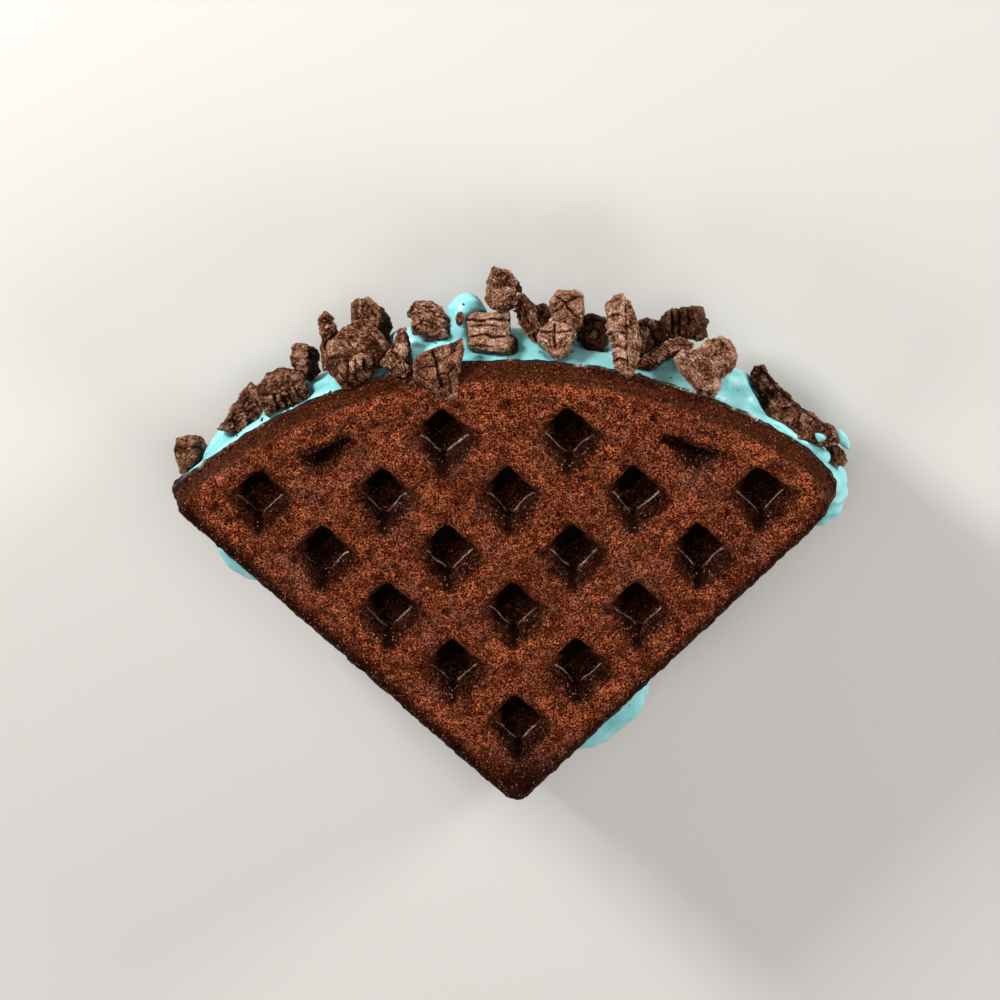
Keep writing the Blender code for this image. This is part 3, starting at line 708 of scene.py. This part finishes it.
def surface_under(right, up):
    """Where the line of sight through this point of the picture meets the food."""
    eye = AIM + TOWARD_CAMERA * CAMERA_DISTANCE
    sight = (AIM + (PICTURE_RIGHT * right + PICTURE_UP * up) * MM - eye).normalized()
    hits = []
    for piece in (front_waffle, cream_piece):
        hit, spot, normal, _ = piece.ray_cast(eye, sight)
        if hit:
            hits.append(((spot - eye).length, spot, normal))
    return min(hits, key=lambda found: found[0])[1:] if hits else None


def loose_crumbs():
    """Small broken crumbs in one mesh."""
    rng = random.Random(CRUMB_SEED)
    bm = bmesh.new()
    for right, up, length, angle in CRUMBS:
        found = surface_under(right, up)
        if not found:
            continue
        spot, normal = found
        lie = toward_angle(PICTURE_RIGHT, PICTURE_UP, angle)
        lie = (lie - normal * lie.dot(normal)).normalized()
        axes = Matrix((lie, normal.cross(lie), normal)).transposed().to_4x4()
        tall = Matrix.Diagonal((0.5, rng.uniform(0.22, 0.3), rng.uniform(0.22, 0.32), 1.0))
        place = Matrix.Translation(spot + normal * length * 0.1 * MM) @ axes
        bmesh.ops.create_icosphere(bm, subdivisions=3, radius=length * MM, matrix=place @ tall)
    piece = new_piece("loose_crumbs", bm)
    points = points_of(piece.data)
    relief = waves(points, 0.7, 81) * 0.22 + waves(points, 0.3, 82) * 0.08
    raise_skin(piece.data, points, relief)
    keep(piece.data, raised=np.clip(0.5 + relief * 1.6, 0.0, 1.0),
         tone=np.full(len(points), 0.3))
    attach(piece, "root")
    return piece


crumbs_piece = loose_crumbs()
print("crumb faces:", len(crumbs_piece.data.polygons))

# %% [markdown]
# ## Shared effects
# Crumb grain, winding wrinkles and stray specks are on more than one food, so each is a
# shader node group with its size as an input. A group gives numbers only. What they do to
# colour, roughness and bump is set in each material.

# %% Node helpers
def feed(tree, node, inputs):
    """Gives inputs of a node, by name or number, another node's output or a value."""
    for name, value in inputs.items():
        socket = node.inputs[name]
        if isinstance(value, bpy.types.NodeSocket):
            tree.links.new(value, socket)
        elif socket.type == "RGBA":
            socket.default_value = (*value, 1.0)
        else:
            socket.default_value = value


def new_group(name, inputs, outputs):
    """A shader node group. Its Position is a vector, and its other sockets are numbers."""
    group = bpy.data.node_groups.new(name, "ShaderNodeTree")
    for side, sockets in (("INPUT", inputs), ("OUTPUT", outputs)):
        for socket in sockets:
            kind = "NodeSocketVector" if socket == "Position" else "NodeSocketFloat"
            group.interface.new_socket(socket, in_out=side, socket_type=kind)
    return group, group.nodes.new("NodeGroupInput").outputs, group.nodes.new("NodeGroupOutput")


def math_node(tree, operation, first, second=0.0):
    """A Math node. Each input is a socket or a number."""
    node = tree.nodes.new("ShaderNodeMath")
    node.operation = operation
    feed(tree, node, {0: first, 1: second})
    return node.outputs[0]


def times(tree, first, second):
    return math_node(tree, "MULTIPLY", first, second)


def plus(tree, first, second):
    return math_node(tree, "ADD", first, second)


def rest(tree, share):
    """What a share leaves of 1."""
    return math_node(tree, "SUBTRACT", 1.0, share)


def range_node(tree, value, low, high, to_low=0.0, to_high=1.0):
    """Maps low to high onto to_low to to_high, and holds the ends."""
    node = tree.nodes.new("ShaderNodeMapRange")
    feed(tree, node, {"Value": value, "From Min": low, "From Max": high,
                      "To Min": to_low, "To Max": to_high})
    return node.outputs[0]


def in_sizes(tree, given):
    """The given position in metres divided by the given size in mm."""
    node = tree.nodes.new("ShaderNodeVectorMath")
    node.operation = "SCALE"
    per_metre = math_node(tree, "DIVIDE", 1 / MM, given["Size mm"])
    feed(tree, node, {0: given["Position"], "Scale": per_metre})
    return node.outputs[0]


def texture(tree, kind, place, **inputs):
    """A texture whose features are about 1 apart at this place."""
    node = tree.nodes.new(f"ShaderNodeTex{kind}")
    feed(tree, node, {"Vector": place, "Scale": 1.0, **inputs})
    return node.outputs


# %% Build the groups
def crumb_grain_group():
    """Grain of one size: 0 between the crumbs and 1 on top of them."""
    group, given, made = new_group("crumb_grain", ("Position", "Size mm"), ("Grain",))
    place = in_sizes(group, given)
    cloud = texture(group, "Noise", place, Detail=3.0, Roughness=0.65, Distortion=0.6)
    cells = texture(group, "Voronoi", place)
    bumps = range_node(group, cells["Distance"], 0.1, 0.8, 1.0, 0.0)
    soft = range_node(group, cloud["Fac"], 0.34, 0.66)
    grain = plus(group, times(group, bumps, 0.45), times(group, soft, 0.55))
    feed(group, made, {"Grain": grain})
    return group


def specks_group():
    """Stray specks: 1 on a speck, 0 beside it. Share is how many cells hold one."""
    group, given, made = new_group(
        "stray_specks", ("Position", "Size mm", "Share"), ("Speck",))
    cells = texture(group, "Voronoi", in_sizes(group, given))
    near = range_node(group, cells["Distance"], 0.25, 0.4, 1.0, 0.0)
    lucky = group.nodes.new("ShaderNodeSeparateColor")
    feed(group, lucky, {"Color": cells["Color"]})
    chosen = math_node(group, "LESS_THAN", lucky.outputs["Red"], given["Share"])
    feed(group, made, {"Speck": times(group, near, chosen)})
    return group


def wrinkles_group():
    """Winding wrinkles: 0 in a furrow and 1 between the furrows."""
    group, given, made = new_group("fine_wrinkles", ("Position", "Size mm"), ("Wrinkle",))
    cloud = texture(group, "Noise", in_sizes(group, given), Detail=2.0, Distortion=1.0)
    away = math_node(group, "ABSOLUTE", math_node(group, "SUBTRACT", cloud["Fac"], 0.5))
    feed(group, made, {"Wrinkle": range_node(group, away, 0.005, 0.06)})
    return group


CRUMB_GRAIN = crumb_grain_group()
FINE_WRINKLES = wrinkles_group()
STRAY_SPECKS = specks_group()

# %% [markdown]
# ## Finishes
# Every finish starts from a Principled shader and the object's own coordinates, so the
# pattern stays on the food. Small helpers place a group, mix two colours by a mask and
# read a mask that the relief kept.

# %% Material helpers
def new_material(name):
    """A material, its tree, its shader and its Object coordinates."""
    material = bpy.data.materials.new(name)
    material.use_nodes = True
    tree = material.node_tree
    place = tree.nodes.new("ShaderNodeTexCoord").outputs["Object"]
    return material, tree, tree.nodes["Principled BSDF"], place


def placed_group(tree, group, inputs):
    """Places a group with these inputs and returns its outputs."""
    node = tree.nodes.new("ShaderNodeGroup")
    node.node_tree = group
    feed(tree, node, inputs)
    return node.outputs


def effect(tree, group, place, size, share=None):
    """A shared effect with its size in mm, and for specks the share of cells with one."""
    inputs = {"Position": place, "Size mm": size}
    if share is not None:
        inputs["Share"] = share
    return placed_group(tree, group, inputs)[0]


def mask(tree, name):
    node = tree.nodes.new("ShaderNodeAttribute")
    node.attribute_name = name
    return node.outputs["Fac"]


def mix_colours(tree, share, first, second):
    """first where share is 0 and second where it is 1. A colour is a socket or a tuple."""
    node = tree.nodes.new("ShaderNodeMix")
    node.data_type = "RGBA"
    feed(tree, node, {"Factor": share, 6: first, 7: second})
    return node.outputs[2]


def bump(tree, shader, height, distance):
    """Bump of this many mm from a height between 0 and 1."""
    node = tree.nodes.new("ShaderNodeBump")
    feed(tree, node, {"Strength": 1.0, "Distance": distance * MM, "Height": height})
    feed(tree, shader, {"Normal": node.outputs["Normal"]})


# %% [markdown]
# ### Cocoa waffle
# The crumb is red-brown and grainy, with pale specks painted as glints. The round side is
# painted darker as shade, and the pockets are painted nearly black as shade, most of all in
# their upper left half and in a wedge at the lower corner. A pale line is painted as a glint
# where the lower walls meet the floor. Depth and the place in a pocket decide all this, so the
# masks from the relief do the mixing.

# %% Where a pocket gets painted shade and painted glints
FLOOR_HALF = 3.2
POCKET_FLOOR = 3.5


def pocket_group():
    """How much painted shade and black shade a pocket has, its painted glint lines and where
    painted glints show.
    """
    group, given, made = new_group(
        "pocket_shade_and_glints", ("Across", "Along", "Depth"), ("Dark", "Black", "Shine", "Glints"))
    across = math_node(group, "ABSOLUTE", given["Across"])
    along = math_node(group, "ABSOLUTE", given["Along"])
    farther = math_node(group, "MAXIMUM", across, along)
    upward = plus(group, given["Across"], given["Along"])
    rightward = math_node(group, "SUBTRACT", given["Across"], given["Along"])

    # Painted shade: darker with depth, in the creases and towards the rounded opening
    down = range_node(group, given["Depth"], 0.05, POCKET_FLOOR)
    deep = times(group, math_node(group, "POWER", down, 0.36),
                 range_node(group, upward, -6.0, 2.5, 0.8, 1.0))
    off_corner = math_node(
        group, "SUBTRACT", farther, math_node(group, "MINIMUM", across, along))
    corner = times(group, range_node(group, off_corner, 0.1, 1.2, 0.97, 0.0),
                   range_node(group, given["Depth"], 0.0, 0.5))
    powers = plus(
        group, math_node(group, "POWER", across, 4), math_node(group, "POWER", along, 4))
    opening = times(
        group, range_node(group, math_node(group, "POWER", powers, 0.25), 4.4, 6.4, 0.93, 0.0),
        range_node(group, upward, -1.0, 5.0, 1.0, 0.5))
    creased = math_node(group, "MAXIMUM", deep, corner)
    open_dark = math_node(group, "MAXIMUM", creased, opening)

    # Less painted shade on the lower right of the floor and at the left end
    shaded = math_node(group, "SUBTRACT", upward, times(group, rightward, 0.8))
    on_floor = range_node(group, farther, FLOOR_HALF - 0.3, FLOOR_HALF + 0.6, 1.0, 0.0)
    lifted = times(group, on_floor, range_node(group, shaded, -5.0, -0.5, 0.3, 0.0))
    left_end = range_node(group, rightward, -7.0, -3.0, 0.7, 0.0)
    lighter = times(group, rest(group, lifted), rest(group, left_end))

    # Painted black shade in a wedge at the lower corner and on the upper left half
    from_wedge = math_node(group, "ABSOLUTE", plus(group, rightward, 0.5))
    wedge_height = times(group, range_node(group, upward, -11.2, -8.7),
                         range_node(group, upward, -5.8, -4.6, 1.0, 0.0))
    wedge = times(group, range_node(group, from_wedge, 0.8, 3.4, 0.95, 0.0), wedge_height)
    sunk = times(group, range_node(group, given["Depth"], 0.3, 1.2),
                 range_node(group, rightward, -6.5, -4.0, 0.2, 1.0))
    black_half = times(group, range_node(group, shaded, -0.5, 2.5), sunk)

    # A painted glint line where the two lower walls meet the floor
    lowest = math_node(group, "MINIMUM", given["Across"], given["Along"])
    other = math_node(group, "MAXIMUM", given["Across"], given["Along"])
    from_crease = math_node(group, "ABSOLUTE", plus(group, lowest, FLOOR_HALF))
    line = times(group, range_node(group, from_crease, 0.03, 0.16, 1.0, 0.0),
                 range_node(group, other, -2.5, -1.5))
    feed(group, made, {
        "Dark": times(group, open_dark, lighter),
        "Black": math_node(group, "MAXIMUM", wedge, black_half),
        "Shine": times(group, line, range_node(group, given["Depth"], 2.8, 3.3)),
        "Glints": range_node(group, upward, -4.0, 3.0, 0.5, 0.03)})
    return group


POCKET_SHADE_AND_GLINTS = pocket_group()
print("node groups:", [group.name for group in bpy.data.node_groups])

# %% Crumb of the waffles
CRUMB_DARK = (0.028, 0.002, 0.0002)
CRUMB_MID = (0.208, 0.0275, 0.0042)
CRUMB_LIGHT = (0.76, 0.235, 0.098)
CRUMB_SHEEN = (0.36, 0.155, 0.125)
GLINT_PALE = (0.75, 0.4, 0.26)
# Painted shade on the upright sides: the dark and the light end of their grain
SHADED_SIDE_DARK = (0.005, 0.0008, 0.0002)
SHADED_SIDE_LIGHT = (0.115, 0.026, 0.0075)


def face_crumb(tree, place, fine, middling):
    """The flat faces: grain in three tones, dark patches, painted sheen, painted shade in the
    hollows and near the straight sides and the point, and pale specks painted as glints."""
    dark_part = mix_colours(tree, range_node(tree, fine, 0.36, 0.49), CRUMB_DARK, CRUMB_MID)
    crumb = mix_colours(tree, range_node(tree, fine, 0.52, 0.68), dark_part, CRUMB_LIGHT)
    uneven = range_node(tree, middling, 0.25, 0.52, 0.62, 0.0)
    broad = effect(tree, CRUMB_GRAIN, place, size=7.0)
    patches = range_node(tree, broad, 0.3, 0.75, 0.4, 0.0)
    for share in (uneven, patches):
        crumb = mix_colours(tree, share, crumb, CRUMB_DARK)
    # Painted sheen: broad pale pinkish patches over the lighter grain
    sheen = range_node(tree, effect(tree, CRUMB_GRAIN, place, size=11.0), 0.5, 0.75, 0.0, 0.3)
    sheen_painted = mix_colours(
        tree, times(tree, sheen, range_node(tree, fine, 0.4, 0.7)), crumb, CRUMB_SHEEN)
    # Painted shade in the hollows of the relief
    hollow_shade = range_node(tree, mask(tree, "raised"), 0.1, 0.5, 0.7, 0.0)
    low = mix_colours(tree, hollow_shade, sheen_painted, CRUMB_DARK)
    # Painted shade near the straight sides and the point
    edge_shade_painted = mix_colours(tree, times(tree, mask(tree, "singed"), 0.9), low, SHADED_SIDE_DARK)
    # Painted glints: small pale specks on the crumb
    speck = effect(tree, STRAY_SPECKS, place, size=0.42, share=0.18)
    return mix_colours(tree, times(tree, speck, 0.42), edge_shade_painted, GLINT_PALE)


def shaded_side_crumb(tree, place, fine):
    """The upright sides, painted darker as shade, with a few pale specks painted as glints."""
    crumb = mix_colours(tree, range_node(tree, fine, 0.4, 0.68), SHADED_SIDE_DARK, SHADED_SIDE_LIGHT)
    # Painted glints on the sides
    glint_bit = effect(tree, STRAY_SPECKS, place, size=0.5, share=0.14)
    return mix_colours(tree, times(tree, glint_bit, 0.36), crumb, GLINT_PALE)


# %% Paint shade into the pockets
POCKET_SHADE_BLACK = (0.0022, 0.0008, 0.0005)
GLINT_LINE_PALE = (0.85, 0.7, 0.62)


def shade_painted_pockets(tree, place, crumb, fine, depth, in_pocket, pockets):
    """The crumb with painted shade in the pockets and a few painted glints in them."""
    cut_off = mask(tree, "cut_off")
    # Painted shade: the cut-off pockets darken with depth
    sunk = times(tree, cut_off, range_node(tree, depth, 0.15, 0.9, 0.0, 0.93))
    darker = math_node(tree, "MAXIMUM", pockets["Dark"], sunk)
    uneven = times(tree, darker, range_node(tree, fine, 0.45, 0.8, 1.0, 0.78))
    black = times(tree, pockets["Black"], rest(tree, cut_off))
    dark = times(tree, math_node(tree, "MAXIMUM", uneven, black), in_pocket)
    deepened = mix_colours(tree, dark, crumb, POCKET_SHADE_BLACK)
    # Painted glints in the pockets, most on their lower walls
    glint = effect(tree, STRAY_SPECKS, place, size=0.5, share=0.12)
    glinting = times(tree, times(tree, glint, pockets["Glints"]), in_pocket)
    return mix_colours(tree, glinting, deepened, GLINT_PALE)


def unbroken_glint_line(tree, place, fine, middling):
    """How much of the painted glint line is left: it has gaps, and its lower left part fades
    towards the left of the waffle."""
    gaps = times(tree, range_node(tree, fine, 0.3, 0.52, 0.25, 1.0),
                 range_node(tree, middling, 0.25, 0.5, 0.3, 1.0))
    sideways = tree.nodes.new("ShaderNodeSeparateXYZ")
    feed(tree, sideways, {0: place})
    faded = range_node(tree, sideways.outputs["X"], -30 * MM, -8 * MM, 0.75, 0.0)
    lower_left = math_node(tree, "LESS_THAN", mask(tree, "across"), mask(tree, "along"))
    return gaps, rest(tree, times(tree, faded, lower_left))


# %% Finish of the waffles
CRUMB_REFLECTION = (1.0, 0.4, 0.25)


def cocoa_waffle_finish():
    material, tree, shader, place = new_material("cocoa_waffle_crumb")
    grain = effect(tree, CRUMB_GRAIN, place, size=0.33)
    strands = effect(tree, FINE_WRINKLES, place, size=0.7)
    fine = plus(tree, times(tree, grain, 0.64), times(tree, strands, 0.27))
    middling = effect(tree, CRUMB_GRAIN, place, size=2.4)
    depth = mask(tree, "depth")
    in_pocket = mask(tree, "in_pocket")
    pockets = placed_group(tree, POCKET_SHADE_AND_GLINTS, {
        "Across": mask(tree, "across"), "Along": mask(tree, "along"), "Depth": depth})
    # Painted shade: below the outer face the upright sides take the darker side crumb
    side = times(tree, range_node(tree, depth, 0.2, 2.0, 0.0, 0.95), rest(tree, in_pocket))
    crumb = mix_colours(
        tree, side, face_crumb(tree, place, fine, middling), shaded_side_crumb(tree, place, fine))
    specked = shade_painted_pockets(tree, place, crumb, fine, depth, in_pocket, pockets)
    whole = math_node(tree, "SUBTRACT", in_pocket, mask(tree, "cut_off"))
    shine = times(tree, pockets["Shine"], whole)
    gaps, kept = unbroken_glint_line(tree, place, fine, middling)
    # Painted highlight: the pale glint line along the pocket creases
    glint_line = times(tree, times(tree, shine, gaps), kept)
    rough = range_node(tree, fine, 0.2, 0.9, 0.6, 0.4)
    feed(tree, shader, {
        "Base Color": mix_colours(tree, glint_line, specked, GLINT_LINE_PALE),
        "Roughness": math_node(tree, "SUBTRACT", rough, times(tree, shine, 0.2)),
        "Specular IOR Level": 0.05, "Specular Tint": CRUMB_REFLECTION})
    bump(tree, shader, fine, 0.75)
    return material


# %% Finish of the crisp edge
EDGE_DARK = (0.012, 0.004, 0.002)
EDGE_TAN = (0.14, 0.085, 0.055)
EDGE_SMEAR_AND_GLINT = (0.42, 0.37, 0.31)


def crisp_edge_finish():
    material, tree, shader, place = new_material("crisp_waffle_edge")
    grains = effect(tree, CRUMB_GRAIN, place, size=0.8)
    wide = effect(tree, CRUMB_GRAIN, place, size=3.2)
    outermost = range_node(tree, mask(tree, "rim"), 0.65, 0.95)
    tan = times(tree, range_node(tree, grains, 0.56, 0.68), range_node(tree, wide, 0.45, 0.6))
    smear = times(tree, range_node(tree, grains, 0.2, 0.55, 0.35, 1.0),
                  range_node(tree, wide, 0.42, 0.54, 0.08, 1.0))
    # Pale patches on the outermost edge: partly smeared cream, partly painted glints
    pale = times(tree, smear, mask(tree, "smeared"))
    flecked = mix_colours(tree, times(tree, tan, outermost), EDGE_DARK, EDGE_TAN)
    colour = mix_colours(tree, times(tree, pale, outermost), flecked, EDGE_SMEAR_AND_GLINT)
    feed(tree, shader, {"Base Color": colour, "Roughness": 0.5, "Specular IOR Level": 0.12})
    bump(tree, shader, grains, 0.3)
    return material


# %% [markdown]
# ### Cream
# The cream is a pale turquoise with a satin skin, and painted shade deepens its colour between the
# folds.
# Light goes a little way in, which lifts its shadows, and a few specks of biscuit dust
# lie in it.

# %% Finish of the cream
CREAM_FOLD_SHADE = (0.04, 0.3, 0.29)
CREAM_BODY = (0.168, 0.462, 0.466)
CREAM_PALE = (0.23, 0.51, 0.52)
DUST_BROWN = (0.05, 0.035, 0.025)


def cream_finish():
    material, tree, shader, place = new_material("turquoise_cream")
    broad = effect(tree, CRUMB_GRAIN, place, size=6.0)
    body = mix_colours(tree, range_node(tree, broad, 0.2, 0.8), CREAM_BODY, CREAM_PALE)
    # Painted shade: deeper colour between the folds
    fold_shade_share = range_node(tree, mask(tree, "raised"), 0.15, 0.45, 0.5, 0.0)
    fold_shaded = mix_colours(tree, fold_shade_share, body, CREAM_FOLD_SHADE)
    speck = effect(tree, STRAY_SPECKS, place, size=0.7, share=0.012)
    feed(tree, shader, {
        "Base Color": mix_colours(tree, times(tree, speck, 0.75), fold_shaded, DUST_BROWN),
        "Roughness": range_node(tree, broad, 0.2, 0.8, 0.42, 0.3),
        "Subsurface Weight": 0.22, "Subsurface Radius": (0.6, 1.0, 1.0),
        "Subsurface Scale": 1.2 * MM})
    bump(tree, shader, effect(tree, CRUMB_GRAIN, place, size=1.1), 0.05)
    return material


# %% [markdown]
# ### Chocolate biscuit
# Dry biscuit is a greyer brown than the waffle. The raised chips are painted lighter, the
# highest up to a pale painted highlight, and the cracks are painted nearly black as shade, so
# the kept relief mixes the colours, and a fine grain roughens both.

# %% Finish of the biscuit
BISCUIT_CRACK_SHADE = (0.006, 0.0016, 0.0005)
BISCUIT_BODY = (0.102, 0.029, 0.0105)
BISCUIT_CHIP = (0.37, 0.185, 0.112)
BISCUIT_PAINTED_HIGHLIGHT = (0.75, 0.53, 0.41)
BISCUIT_REFLECTION = (1.0, 0.64, 0.45)


def biscuit_finish():
    material, tree, shader, place = new_material("chocolate_biscuit_crumb")
    fine = effect(tree, CRUMB_GRAIN, place, size=0.34)
    wrinkles = effect(tree, FINE_WRINKLES, place, size=1.3)
    patches = effect(tree, CRUMB_GRAIN, place, size=2.8)
    tone = mask(tree, "tone")
    grain = plus(tree, times(tree, fine, 0.62), times(tree, wrinkles, 0.18))
    height = plus(tree, times(tree, mask(tree, "raised"), 0.6), grain)
    lit = plus(tree, height, range_node(tree, patches, 0.2, 0.75, 0.01, 0.27))
    level = plus(tree, lit, range_node(tree, tone, 0.0, 1.0, -0.18, 0.18))
    # Painted light: cracks painted nearly black as shade, raised chips lighter, the highest a pale
    # painted highlight
    body = mix_colours(tree, range_node(tree, level, 0.46, 0.76), BISCUIT_CRACK_SHADE, BISCUIT_BODY)
    chip = mix_colours(tree, range_node(tree, level, 0.74, 1.06), body, BISCUIT_CHIP)
    pale = mix_colours(tree, range_node(tree, level, 1.06, 1.3, 0.0, 0.8), chip, BISCUIT_PAINTED_HIGHLIGHT)
    in_shade = range_node(tree, tone, 0.0, 0.35, 0.8, 0.0)
    feed(tree, shader, {
        "Base Color": mix_colours(tree, in_shade, pale, BISCUIT_CRACK_SHADE),
        "Roughness": range_node(tree, fine, 0.2, 0.9, 0.5, 0.22),
        "Specular IOR Level": 0.15, "Specular Tint": BISCUIT_REFLECTION})
    bump(tree, shader, grain, 0.75)
    return material


# %% Put the finishes on
def dress(material, *pieces):
    for piece in pieces:
        piece.data.materials.clear()
        piece.data.materials.append(material)


dress(cocoa_waffle_finish(), front_waffle, back_waffle)
dress(crisp_edge_finish(), front_edge, back_edge)
dress(cream_finish(), cream_piece, *smears)
dress(biscuit_finish(), *biscuits, crumbs_piece)
print("materials:", [material.name for material in bpy.data.materials])

# %% [markdown]
# ## Floor and light
# A plain pale floor and large soft lights show the food without a mood of their own.
# The main light comes from the upper left of the picture. A second one from the upper
# right keeps the cream bright on that side, wide frontal light fills the pockets, and two
# low fills lift the sides that face the camera.

# %% Floor
FLOOR_COLOUR = (0.56, 0.53, 0.5)

floor_bm = bmesh.new()
bmesh.ops.create_grid(floor_bm, x_segments=1, y_segments=1, size=3.0)
floor = new_piece("floor", floor_bm)
floor_material = bpy.data.materials.new("pale_floor")
floor_material.use_nodes = True
floor_tree = floor_material.node_tree
feed(floor_tree, floor_tree.nodes["Principled BSDF"],
     {"Base Color": FLOOR_COLOUR, "Roughness": 0.7})
dress(floor_material, floor)

# %% Lights
# Each light's direction in the picture's own right, up and toward the camera, then its
# distance and size in metres and its power in watts
LIGHTS = {
    "main_light": (-0.66, 0.5, 0.56, 0.7, 0.15, 7.6),
    "right_light": (0.75, 0.45, 0.5, 1.0, 0.25, 9.0),
    "front_fill": (0.1, 0.0, 1.0, 1.3, 0.8, 5.2),
    "low_right_fill": (0.7, -0.65, 0.3, 1.0, 0.4, 4.6),
    "low_left_fill": (-0.7, -0.65, 0.3, 1.0, 0.4, 3.0),
}

for name, (right, up, toward, distance, size, power) in LIGHTS.items():
    data = bpy.data.lights.new(name, "AREA")
    data.size = size
    data.energy = power
    light = link(name, data)
    away = (PICTURE_RIGHT * right + PICTURE_UP * up + TOWARD_CAMERA * toward).normalized()
    light.location = away * distance
    light.rotation_euler = away.to_track_quat("Z", "Y").to_euler()

world = bpy.data.worlds.new("soft_room")
world.use_nodes = True
feed(world.node_tree, world.node_tree.nodes["Background"],
     {"Color": (1.0, 0.97, 0.93), "Strength": 0.07})
bpy.context.scene.world = world
bpy.context.scene.view_settings.view_transform = "Standard"
print("lights:", len(LIGHTS))
